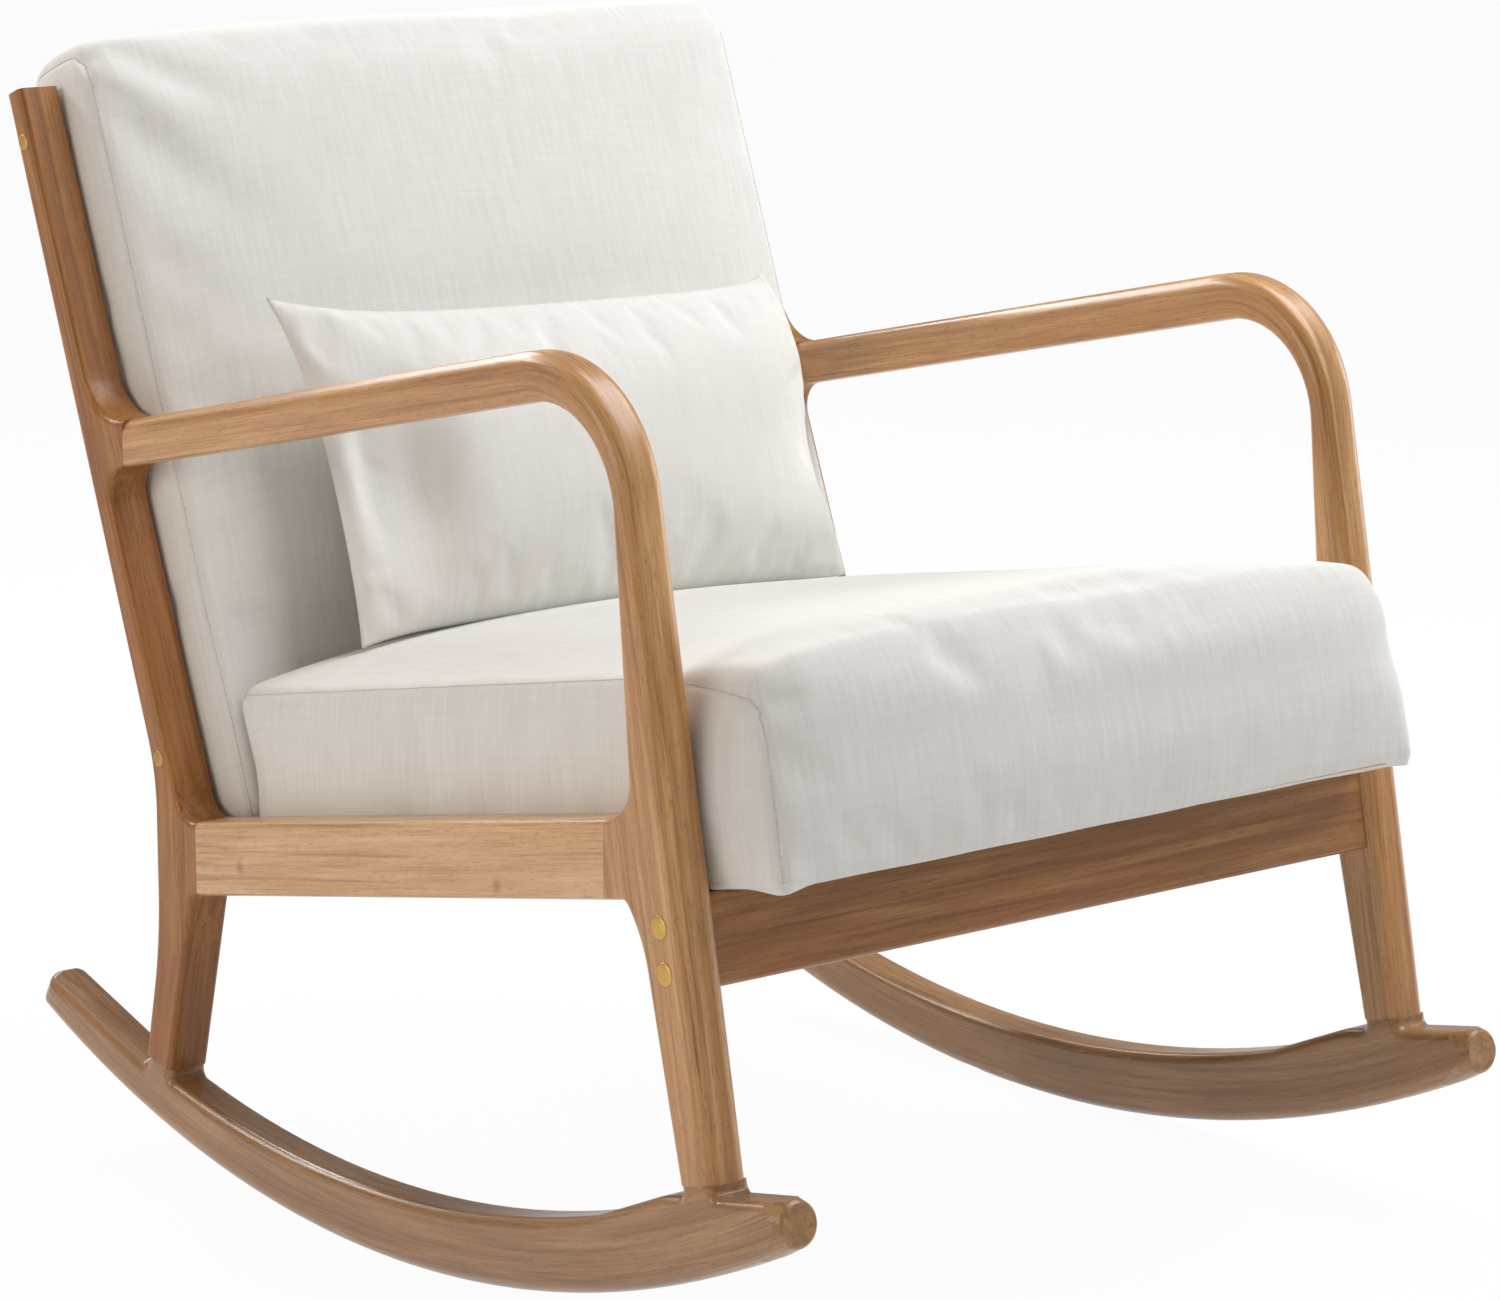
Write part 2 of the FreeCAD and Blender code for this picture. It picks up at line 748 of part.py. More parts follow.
apron = bar("apron", rectangle("apron_front + apron_thick", "apron_front",
                               "apron_top - apron_depth", "apron_top"), SEAT)
apron_tools = []
for _, sign in SIDES:
    for place in APRON_BOLTS:
        apron_tools.append(bolt_way(sign, place))
        start, axis = nut_start(sign, place)
        apron_tools.append(rod("nut_way", "nut_bore + hole_play", "nut_length + 4", start - axis * 3, axis))
keep("front_apron", cut("front_apron", apron, apron_tools))

rear_rail = bar("rear_rail_bar", rectangle("rear_rail_y + rear_rail_thick", "rear_rail_y",
                                           "rear_rail_z", "rear_rail_z + rear_rail_depth"), TOUCH)
keep("rear_rail", cut("rear_rail", rear_rail, [hole for _, sign in SIDES for hole in rear_rail_holes(sign)]))


# Bolts, nuts, inserts, washers and caps

def barrel_nut(sign, place):
    start, axis = nut_start(sign, place)
    blank = rod("nut", "nut_bore", "nut_length", start, axis)
    return cut("barrel_nut", blank, [bolt_way(sign, place)])


STILE_X = value("back_width / 2 - cover_thick - 0.5")
BACK_X = value("back_width / 2")


def insert(sign, place):
    start = Vector(sign * STILE_X, place.y, place.z)
    return sleeve("insert", "insert_bore", "insert_length", start, Vector(-sign, 0, 0), BOLT_WAY)


def washer(sign, place):
    start = Vector(sign * INNER_X, place.y, place.z)
    return sleeve("washer", "washer_bore", "overall_width / 2 - frame_thick - back_width / 2", start,
                  Vector(-sign, 0, 0), BOLT_WAY)


def leg_cap(sign, place):
    return cap(sign, place, "apron_cap")


def post_cap(sign, place):
    return cap(sign, place, "post_cap")


for name, make, places in (("apron_bolts", bolt, APRON_BOLTS), ("back_bolts", bolt, POST_BOLTS),
                           ("apron_barrel_nuts", barrel_nut, APRON_BOLTS),
                           ("back_inserts", insert, POST_BOLTS),
                           ("back_washers", washer, POST_BOLTS), ("leg_caps", leg_cap, APRON_BOLTS),
                           ("post_caps", post_cap, POST_BOLTS)):
    keep(name, group(name, [make(sign, place) for _, sign in SIDES for place in places]))


def seat_screw(sign, station):
    start = screw_start(sign, station)
    shank = rod("screw_shank", "screw_size", "screw_length", start, Vector(sign, 0, 0))
    head = doc.addObject("Part::Cone", "screw_head")
    bind(head, Radius1="screw_head / 2", Radius2="screw_size / 2", Height="screw_size / 2")
    head.Placement = Placement(start, Rotation(Vector(0, 0, 1), Vector(sign, 0, 0)))
    return joined("screw", [shank, head])


keep("seat_screws", group("seat_screws", [seat_screw(sign, station) for _, sign in SIDES
                                          for station in SCREW_STATIONS]))


# Seat: crowned cover over foam, on webbing and a frame with corner blocks

def seat_section(station, height, front, inset, low):
    """Side outline of the seat at one station across it, with its waterfall front edge."""
    front_face = "%s + (%s)" % (front, inset)
    top = "%s - (%s)" % (height, inset)
    radius = "(seat_front_radius - (%s))" % inset
    rear = steep("seat_rear - (%s)" % inset, "tan(seat_rear_lean)")
    corners = [
        at_z(rear, low),
        (front_face, low),
        (front_face, "%s - %s" % (top, radius)),
        ("%s + %s" % (front_face, radius), top),
        at_z(rear, top),
    ]
    return station, corners, {2: radius, 3: "seat_top_radius"}


def end_edges(body, half, sides, corners):
    """Edges of a loft's two flat ends that follow the given sides of its end outline."""
    points = numbers(corners)
    found = []
    for index, edge in enumerate(body.Shape.Edges, start=1):
        middle = edge.valueAt((edge.FirstParameter + edge.LastParameter) / 2)
        if abs(abs(middle.x) - half) > 0.01:
            continue
        spot = Vector(middle.y, middle.z, 0)
        spans = [spot.distanceToPoint((start + points[(side + 1) % len(points)]) / 2)
                 for side, start in enumerate(points)]
        if spans.index(min(spans)) in sides:
            found.append("Edge%d" % index)
    return found


def seat_form(name, inset="0", low="0"):
    half = "(seat_width / 2 - (%s))" % inset
    edge = ("seat_side_height", "seat_front")
    middle = ("seat_crown_height", "(seat_front + seat_draw_in)")
    sections = [seat_section(station, *shape, inset, low)
                for station, shape in ((half, edge), ("0", middle), ("-" + half, edge))]
    body = loft(name, sections)
    soften(body, "seat_side_round - (%s)" % inset, end_edges(body, value(half), {1, 2, 3}, sections[0][1]))
    return body


seat_skin = seat_form("seat_skin")
seat_inside = seat_form("seat_inside", inset="cover_thick", low="-5")
for body in (seat_skin, seat_inside):
    body.Placement = SEAT
cover_tools = [tool for _, sign in SIDES for tool in screw_holes(sign, "screw_size + hole_play")]
keep("seat_cover", cut("seat_cover", seat_skin, [seat_inside] + cover_tools))

RAIL_INSET = value("cover_thick") + 0.5
SEAT_HALF = value("seat_width / 2") - RAIL_INSET
SEAT_FRONT = value("seat_front + seat_draw_in") + RAIL_INSET
SEAT_REAR = value("seat_rear") - RAIL_INSET
SEAT_LOW = value("seat_rail_low")
RAIL_STOCK = value("seat_rail_thick")
SIDE_LENGTH = "%g - 2 * seat_rail_thick" % (SEAT_REAR - SEAT_FRONT)
CROSS_LENGTH = "%g" % (2 * SEAT_HALF)


def inside_seat(name, low, front, rear, height):
    """What fills the inside of the seat's cover from a front plane to a rear one, above a level."""
    room = box(name + "_room", Vector(-value("seat_width / 2"), front, low), SEAT,
               Length="seat_width", Width="%g" % (rear - front), Height=height)
    piece = doc.addObject("Part::Common", name)
    piece.Base = seat_inside
    piece.Tool = room
    return piece


keep("seat_frame_front", inside_seat("seat_frame_front", SEAT_LOW, SEAT_FRONT - 10,
                                     SEAT_FRONT + RAIL_STOCK, "seat_rail_depth"))
keep("seat_frame_rear", box("seat_frame_rear", Vector(-SEAT_HALF, SEAT_REAR - RAIL_STOCK, SEAT_LOW), SEAT,
                            Length=CROSS_LENGTH, Width="seat_rail_thick", Height="seat_rail_depth"))
for side, sign in SIDES:
    corner = Vector(SEAT_HALF - RAIL_STOCK if sign > 0 else -SEAT_HALF, SEAT_FRONT + RAIL_STOCK, SEAT_LOW)
    blank = box("seat_frame_blank", corner, SEAT,
                Length="seat_rail_thick", Width=SIDE_LENGTH, Height="seat_rail_depth")
    ways = [rod("screw_head_way", "screw_head + hole_play", "screw_size", screw_start(sign, station)
                - Vector(sign, 0, 0) * 2, Vector(sign, 0, 0)) for station in SCREW_STATIONS]
    keep("seat_frame_" + side, cut("seat_frame", blank, ways + screw_holes(sign, "screw_size + hole_play")))


def corner_block(across, lengthways):
    """A triangular block glued into an inner corner of the seat frame."""
    piece = doc.addObject("Part::Wedge", "corner_block")
    for name, text in (("Xmin", "0"), ("Ymin", "0"), ("Zmin", "0"), ("X2min", "0"), ("Z2min", "0"),
                       ("Xmax", "block_leg"), ("Ymax", "block_leg"), ("Zmax", "seat_rail_depth - 6"),
                       ("X2max", "web_thick"), ("Z2max", "seat_rail_depth - 6")):
        bind(piece, **{name: text})
    x = across * (SEAT_HALF - RAIL_STOCK)
    y = SEAT_FRONT + RAIL_STOCK if lengthways < 0 else SEAT_REAR - RAIL_STOCK
    turn = {(-1, -1): 0, (1, -1): 90, (1, 1): 180, (-1, 1): 270}[(across, lengthways)]
    piece.Placement = SEAT * Placement(Vector(x, y, SEAT_LOW + 3), Rotation(Vector(0, 0, 1), turn))
    return piece


keep("seat_corner_blocks", group("seat_corner_blocks", [corner_block(across, lengthways)
                                                        for across in (-1, 1) for lengthways in (-1, 1)]))

WEB_LOW = value("seat_rail_low + seat_rail_depth")
WEB_COUNT = 5
WEB_HIGH = WEB_LOW + value("web_thick")


def spread(low, high, width, count):
    """Starts of evenly spaced strips between two limits."""
    step = (high - low - width) / (count - 1)
    return [low + index * step for index in range(count)]


WEB_MARGIN = 40
strips = [box("web", Vector(x, SEAT_FRONT + 2, WEB_LOW), SEAT, Length="web_width",
              Width="%g" % (SEAT_REAR - SEAT_FRONT - 4), Height="web_thick")
          for x in spread(-SEAT_HALF + WEB_MARGIN, SEAT_HALF - WEB_MARGIN, value("web_width"), WEB_COUNT)]
strips += [box("web", Vector(-SEAT_HALF + 2, y, WEB_HIGH), SEAT, Length="%g" % (2 * SEAT_HALF - 4),
               Width="web_width", Height="web_thick")
           for y in spread(SEAT_FRONT + WEB_MARGIN, SEAT_REAR - WEB_MARGIN, value("web_width"), WEB_COUNT)]
keep("seat_webbing", group("seat_webbing", strips))

FOAM_LOW = WEB_HIGH + value("web_thick")
keep("seat_foam", inside_seat("seat_foam", FOAM_LOW, SEAT_FRONT - 10, SEAT_REAR + 80, "seat_crown_height"))
keep("seat_dust_cover", inside_seat("seat_dust_cover", 1, SEAT_FRONT - 10, SEAT_REAR, "dust_cover_thick"))


# Back: crowned cover over foam, on webbing and a frame, closed by a panel behind

def back_section(station, crown, top, inset, rear, rear_radius):
    """Side outline of the back at one station across it: flat below, crowned above, with a round top."""
    front = "(-(back_depth - (%s)))" % inset
    low = "(%s)" % inset
    high = "(%s - (%s))" % (top, inset)
    radius = "(back_top_radius - (%s))" % inset
    chord = "(%s - %s - back_flat)" % (high, radius)
    bulge = "%s ^ 2 / (8 * %s) + %s / 2" % (chord, crown, crown)
    corners = [
        (rear, low),
        (front, low),
        (front, "back_flat"),
        (front, "%s - %s" % (high, radius)),
        ("%s + %s" % (front, radius), high),
        ("%s - (%s)" % (rear, rear_radius), high),
        (rear, "%s - (%s)" % (high, rear_radius)),
    ]
    return station, corners, {2: bulge, 3: radius, 5: rear_radius}


def back_form(name, inset="0", rear="0", rear_radius="back_rear_radius"):
    half = "(back_width / 2 - (%s))" % inset
    edge = ("back_edge_crown", "(back_height - back_edge_drop)")
    middle = ("back_crown", "back_height")
    sections = [back_section(station, *shape, inset, rear, rear_radius)
                for station, shape in ((half, edge), ("0", middle), ("-" + half, edge))]
    body = loft(name, sections)
    soften(body, "back_side_round - (%s)" % inset, end_edges(body, value(half), {1, 2, 3, 4}, sections[0][1]))
    return body


back_skin = back_form("back_skin")
back_inside = back_form("back_inside", inset="cover_thick", rear="5", rear_radius="back_rear_radius + 12")
for body in (back_skin, back_inside):
    body.Placement = BACK
bolt_ways = [bolt_way(sign, place) for _, sign in SIDES for place in POST_BOLTS]
keep("back_cover", cut("back_cover", back_skin, [back_inside] + bolt_ways))

STILE_LOW = 6
STILE_HIGH = value("back_height - stile_top_gap")
STILE_FRONT = -value("stile_rear + stile_thick")
for side, sign in SIDES:
    x = STILE_X - value("stile_width") if sign > 0 else -STILE_X
    blank = box("stile_blank", Vector(x, STILE_FRONT, STILE_LOW), BACK,
                Length="stile_width", Width="stile_thick", Height="%g" % (STILE_HIGH - STILE_LOW))
    insert_ways = [rod("insert_way", "insert_bore + hole_play", "insert_length + 1",
                       Vector(sign * (STILE_X + 1), place.y, place.z), Vector(-sign, 0, 0))
                   for place in POST_BOLTS]
    keep("back_stile_" + side, cut("back_stile", blank, insert_ways + bolt_ways))
BACK_RAIL_X = STILE_X - value("stile_width")
for label, z in (("back_top_rail", STILE_HIGH - value("stile_width")), ("back_bottom_rail", STILE_LOW)):
    keep(label, box(label, Vector(-BACK_RAIL_X, STILE_FRONT, z), BACK,
                    Length="%g" % (2 * BACK_RAIL_X), Width="stile_thick", Height="stile_width"))

web = value("web_thick")
strips = [box("web", Vector(-STILE_X + 2, STILE_FRONT - web, z), BACK, Length="%g" % (2 * STILE_X - 4),
              Width="web_thick", Height="web_width")
          for z in spread(STILE_LOW + WEB_MARGIN, STILE_HIGH - WEB_MARGIN, value("web_width"), WEB_COUNT)]
strips += [box("web", Vector(x, STILE_FRONT - 2 * web, STILE_LOW + 2), BACK, Length="web_width",
               Width="web_thick", Height="%g" % (STILE_HIGH - STILE_LOW - 4))
           for x in spread(-BACK_RAIL_X, BACK_RAIL_X, value("web_width"), WEB_COUNT - 1)]
keep("back_webbing", group("back_webbing", strips))


def back_slice(name, front, rear):
    """What fills the inside of the back's cover between two planes square to its depth."""
    room = box(name + "_room", Vector(-BACK_X, front, -5), BACK,
               Length="back_width", Width="%g" % (rear - front), Height="back_height + 40")
    piece = doc.addObject("Part::Common", name)
    piece.Base = back_inside
    piece.Tool = room
    return piece


PANEL_REAR = -0.5
keep("back_foam", back_slice("back_foam", -value("back_depth + back_crown + 20"), STILE_FRONT - 2 * web))
keep("back_rear_foam", back_slice("back_rear_foam", -value("stile_rear"), PANEL_REAR - value("panel_thick")))
keep("back_panel", back_slice("back_panel", PANEL_REAR - value("panel_thick"), PANEL_REAR))


# Lumbar pillow: a knife-edged cover that is fullest in the middle, over its filling

def pillow_section(station, height, thick, inset="0"):
    half = "(%s / 2 - (%s))" % (height, inset)
    lip = "(pillow_seam / 2 - (%s) / 2)" % inset
    rise = "((%s) / 2 - (%s) - %s)" % (thick, inset, lip)
    radius = "(%s ^ 2 / (2 * %s) + %s / 2)" % (half, rise, rise)
    corners = [(lip, "-" + half), ("-" + lip, "-" + half), ("-" + lip, half), (lip, half)]
    return station, corners, {1: radius, 3: radius}


def blend(low, high, share):
    return "(%s + (%s - %s) * %g)" % (low, high, low, share)


PILLOW_SHAPE = ((1, 1, 0.16), (0.84, 0.4, 0.62), (0.45, 0, 0.96))


def pillow_form(name, inset="0"):
    half = "(pillow_width / 2 - (%s))" % inset
    far_side = [(-share, ear, full) for share, ear, full in reversed(PILLOW_SHAPE)]
    sections = []
    for share, ear, full in [*PILLOW_SHAPE, (0, 0, 1), *far_side]:
        height = blend("pillow_height", "pillow_ear", ear)
        thick = "(pillow_thick * %g)" % full
        sections.append(pillow_section("%g * %s" % (share, half), height, thick, inset))
    return loft(name, sections)


PILLOW_WALL = "(cover_thick * 0.75)"
pillow_skin = pillow_form("pillow_skin")
pillow_inside = pillow_form("pillow_inside", inset=PILLOW_WALL)
for body in (pillow_skin, pillow_inside):
    body.Placement = PILLOW
keep("pillow_cover", cut("pillow_cover", pillow_skin, [pillow_inside]))
keep("pillow_filling", pillow_inside)

doc.recompute()
for item in doc.Objects:
    if "Invalid" in item.State or "Error" in item.State:
        raise RuntimeError("%s: %s" % (item.Label, item.State))
for label, piece in nodes.items():
    if piece.Shape.isNull() or not piece.Shape.isValid() or not piece.Shape.Solids:
        raise RuntimeError("bad shape: " + label)

os.makedirs("parts", exist_ok=True)
for label, piece in nodes.items():
    piece.Shape.exportStep("parts/%s.step" % label)
print(len(nodes), "nodes,", sum(len(piece.Shape.Solids) for piece in nodes.values()), "solids")
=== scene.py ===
import math

import bpy
from mathutils import Matrix, Vector
from mathutils.bvhtree import BVHTree
from mathutils.kdtree import KDTree


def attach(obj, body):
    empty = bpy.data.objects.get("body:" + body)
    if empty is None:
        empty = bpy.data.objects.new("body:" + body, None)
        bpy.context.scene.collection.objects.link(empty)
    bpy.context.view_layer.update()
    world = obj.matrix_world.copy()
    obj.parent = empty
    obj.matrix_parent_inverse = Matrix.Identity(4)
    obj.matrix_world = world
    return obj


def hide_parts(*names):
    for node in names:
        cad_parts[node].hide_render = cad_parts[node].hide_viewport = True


# A rocking chair of lacquered hardwood with linen upholstery and a loose lumbar pillow.
# Everything is in metres in the part's own frame: a sitter faces -Y, X runs across and Z is up.

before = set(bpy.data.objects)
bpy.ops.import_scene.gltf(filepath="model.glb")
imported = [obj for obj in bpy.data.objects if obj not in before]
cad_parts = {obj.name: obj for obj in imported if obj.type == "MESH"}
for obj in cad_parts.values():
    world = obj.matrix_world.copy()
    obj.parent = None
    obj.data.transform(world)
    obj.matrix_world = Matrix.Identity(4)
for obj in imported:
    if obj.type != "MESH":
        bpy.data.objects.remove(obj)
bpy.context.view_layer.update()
scene = bpy.context.scene

MM = 0.001
TOUCH_Y = -1.9 * MM
FACE_X = 330 * MM
INNER_X = 296 * MM

# The seat and back are shaped in their own frames: the seat's lies on the sloping side rails,
# the back's on its rear face, and the pillow's is about its centre.
SEAT = Matrix.Translation((0, TOUCH_Y, 252 * MM)) @ Matrix.Rotation(math.radians(-10.55), 4, "X")
BACK = Matrix.Translation((0, TOUCH_Y + 271.5 * MM, 252.5 * MM)) @ Matrix.Rotation(math.radians(-19.8), 4, "X")
PILLOW = (Matrix.Translation((12 * MM, TOUCH_Y + 195 * MM, 504 * MM))
          @ Matrix.Rotation(math.radians(-19.8), 4, "X") @ Matrix.Rotation(math.radians(1.2), 4, "Y"))


def tint(code):
    """Linear colour of an sRGB hex value."""
    channels = [int(code[at:at + 2], 16) / 255 for at in (1, 3, 5)]
    return (*[c / 12.92 if c <= 0.04045 else ((c + 0.055) / 1.055) ** 2.4 for c in channels], 1.0)


def add(tree, kind, feeds=None, **settings):
    """Adds a node, applies its settings, and links or sets the named inputs."""
    node = tree.nodes.new(kind)
    for name, value in settings.items():
        setattr(node, name, value)
    for socket, source in (feeds or {}).items():
        if isinstance(source, bpy.types.NodeSocket):
            tree.links.new(source, node.inputs[socket])
        else:
            node.inputs[socket].default_value = source
    return node


def blank_material(name):
    material = bpy.data.materials.new(name)
    material.use_nodes = True
    tree = material.node_tree
    return material, tree, tree.nodes["Principled BSDF"]


# How the grain runs in each wooden member: a vector of place across, place through and length along

def grain_in_bar(turn, centre=(0, 0, 0)):
    """Straight stock: the part's frame turned so that its Z lies along the piece."""
    def lay(tree, place):
        return add(tree, "ShaderNodeVectorRotate", {"Vector": place, "Center": centre, "Rotation": turn},
                   rotation_type="EULER_XYZ").outputs[0]
    return lay


def grain_in_rocker(tree, place):
    """Stock bent to the rocker's circle: place through is the radius, length is measured along the arc."""
    radius = 0.974
    moved = add(tree, "ShaderNodeVectorMath", {0: place, 1: (0, TOUCH_Y, radius)}, operation="SUBTRACT").outputs[0]
    parts = add(tree, "ShaderNodeSeparateXYZ", {0: moved})
    drop = add(tree, "ShaderNodeMath", {0: parts.outputs[2], 1: -1.0}, operation="MULTIPLY").outputs[0]
    turn = add(tree, "ShaderNodeMath", {0: parts.outputs[1], 1: drop}, operation="ARCTAN2").outputs[0]
    run = add(tree, "ShaderNodeMath", {0: turn, 1: radius}, operation="MULTIPLY").outputs[0]
    flat = add(tree, "ShaderNodeVectorMath", {0: moved, 1: (0, 1, 1)}, operation="MULTIPLY").outputs[0]
    reach = add(tree, "ShaderNodeVectorMath", {0: flat}, operation="LENGTH").outputs["Value"]
    return add(tree, "ShaderNodeCombineXYZ", {0: parts.outputs[0], 1: reach, 2: run}).outputs[0]


def grain_in_arm(tree, place):
    """Stock that runs along the arm, turns down round the elbow and goes on down the front leg."""
    centre = (0, TOUCH_Y - 207 * MM, 548 * MM)
    radius = 85 * MM
    moved = add(tree, "ShaderNodeVectorMath", {0: place, 1: centre}, operation="SUBTRACT").outputs[0]
    turned = add(tree, "ShaderNodeVectorRotate", {"Vector": moved, "Rotation": (math.radians(12), 0, 0)},
                 rotation_type="EULER_XYZ").outputs[0]
    parts = add(tree, "ShaderNodeSeparateXYZ", {0: turned})
    ahead = add(tree, "ShaderNodeMath", {0: parts.outputs[1], 1: -1.0}, operation="MULTIPLY").outputs[0]
    above = parts.outputs[2]
    ahead_past = add(tree, "ShaderNodeMath", {0: ahead, 1: 0.0}, operation="MAXIMUM").outputs[0]
    above_past = add(tree, "ShaderNodeMath", {0: above, 1: 0.0}, operation="MAXIMUM").outputs[0]
    ahead_short = add(tree, "ShaderNodeMath", {0: ahead, 1: 0.0}, operation="MINIMUM").outputs[0]
    above_short = add(tree, "ShaderNodeMath", {0: above, 1: 0.0}, operation="MINIMUM").outputs[0]
    corner = add(tree, "ShaderNodeCombineXYZ", {0: ahead_past, 1: above_past}).outputs[0]
    reach = add(tree, "ShaderNodeVectorMath", {0: corner}, operation="LENGTH").outputs["Value"]
    turn = add(tree, "ShaderNodeMath", {0: ahead_past, 1: above_past}, operation="ARCTAN2").outputs[0]
    run = add(tree, "ShaderNodeMath", {0: turn, 1: radius, 2: ahead_short}, operation="MULTIPLY_ADD").outputs[0]
    length = add(tree, "ShaderNodeMath", {0: run, 1: above_short}, operation="SUBTRACT").outputs[0]
    return add(tree, "ShaderNodeCombineXYZ", {0: parts.outputs[0], 1: reach, 2: length}).outputs[0]


def grain_in_post(tree, place):
    """Stock that leans back above the seat and kicks back below it."""
    parts = add(tree, "ShaderNodeSeparateXYZ", {0: place})
    over = add(tree, "ShaderNodeMath", {0: parts.outputs[2], 1: 0.295}, operation="SUBTRACT").outputs[0]
    lean = add(tree, "ShaderNodeMath", {0: over, 1: 0.0}, operation="MAXIMUM").outputs[0]
    under = add(tree, "ShaderNodeMath", {0: 0.170, 1: parts.outputs[2]}, operation="SUBTRACT").outputs[0]
    kick = add(tree, "ShaderNodeMath", {0: under, 1: 0.0}, operation="MAXIMUM").outputs[0]
    upright = add(tree, "ShaderNodeMath", {0: lean, 1: -0.372, 2: parts.outputs[1]},
                  operation="MULTIPLY_ADD").outputs[0]
    through = add(tree, "ShaderNodeMath", {0: kick, 1: -0.222, 2: upright}, operation="MULTIPLY_ADD").outputs[0]
    return add(tree, "ShaderNodeCombineXYZ", {0: parts.outputs[0], 1: through, 2: parts.outputs[2]}).outputs[0]


def lacquered_hardwood(name, lay, pale, middle, deep, shift=0.0, knots=(), coat=0.8):
    """Satin-lacquered hardwood such as rubberwood: warm tan ground that drifts in tone, soft growth bands, sparse
    darker veins, fine fibres and short pores along the grain, under a clear coat that shows bright lines along
    the round edges. Fibres and pores are drawn about three times their real width so that they show."""
    material, tree, surface = blank_material(name)
    place = add(tree, "ShaderNodeTexCoord").outputs["Object"]
    grain = add(tree, "ShaderNodeVectorMath", {0: lay(tree, place), 1: (shift, shift * 0.7, shift * 3)},
                operation="ADD").outputs[0]

    def pattern(across, along, **feeds):
        """Noise whose features are so many millimetres wide and long."""
        sizes = (1 / (across * MM), 1 / (across * MM), 1 / (along * MM))
        fitted = add(tree, "ShaderNodeMapping", {"Vector": grain, "Scale": sizes}).outputs[0]
        return add(tree, "ShaderNodeTexNoise", {"Vector": fitted, "Scale": 1.0, **feeds}).outputs[0]

    def toned(ground, share, tone):
        return add(tree, "ShaderNodeMix", {0: share, 6: ground, 7: tint(tone)}, data_type="RGBA").outputs[2]

    drift = pattern(38, 170, Detail=2.0)
    bands = pattern(10, 260, Detail=2.0, Distortion=0.9)
    veins = pattern(4.2, 230, Detail=3.0, Distortion=0.7)
    fibres = pattern(1.2, 46, Detail=2.0, Roughness=0.6)
    pores = pattern(1.1, 9, Detail=1.0)
    band_share = add(tree, "ShaderNodeMapRange", {0: bands, 1: 0.36, 2: 0.66, 3: 1.0, 4: 0.0}).outputs[0]
    colour = toned(tint(pale), band_share, middle)
    drift_share = add(tree, "ShaderNodeMapRange", {0: drift, 1: 0.42, 2: 0.72, 4: 0.75}).outputs[0]
    colour = toned(colour, drift_share, middle)
    vein_share = add(tree, "ShaderNodeMapRange", {0: veins, 1: 0.52, 2: 0.74, 4: 0.52}).outputs[0]
    colour = toned(colour, vein_share, deep)
    fibre_share = add(tree, "ShaderNodeMapRange", {0: fibres, 1: 0.46, 2: 0.78, 4: 0.40}).outputs[0]
    colour = toned(colour, fibre_share, deep)
    pore_share = add(tree, "ShaderNodeMapRange", {0: pores, 1: 0.60, 2: 0.71, 4: 0.36}).outputs[0]
    colour = toned(colour, pore_share, deep)
    for centre in knots:
        away = add(tree, "ShaderNodeVectorMath", {0: place, 1: centre}, operation="DISTANCE").outputs["Value"]
        eye = add(tree, "ShaderNodeMapRange", {0: away, 1: 1.5 * MM, 2: 6 * MM, 3: 0.6, 4: 0.0}).outputs[0]
        colour = toned(colour, eye, deep)
    tree.links.new(colour, surface.inputs["Base Color"])
    gloss = add(tree, "ShaderNodeMapRange", {0: fibres, 1: 0.3, 2: 0.8, 3: 0.38, 4: 0.52}).outputs[0]
    tree.links.new(gloss, surface.inputs["Roughness"])
    height = add(tree, "ShaderNodeMath", {0: pore_share, 1: -1.0, 2: fibres}, operation="MULTIPLY_ADD").outputs[0]
    relief = add(tree, "ShaderNodeBump", {"Strength": 0.15, "Distance": 0.2 * MM, "Height": height}).outputs[0]
    tree.links.new(relief, surface.inputs["Normal"])
    surface.inputs["Specular IOR Level"].default_value = 0.2
    surface.inputs["Coat Weight"].default_value = coat
    surface.inputs["Coat Roughness"].default_value = 0.26
    return material


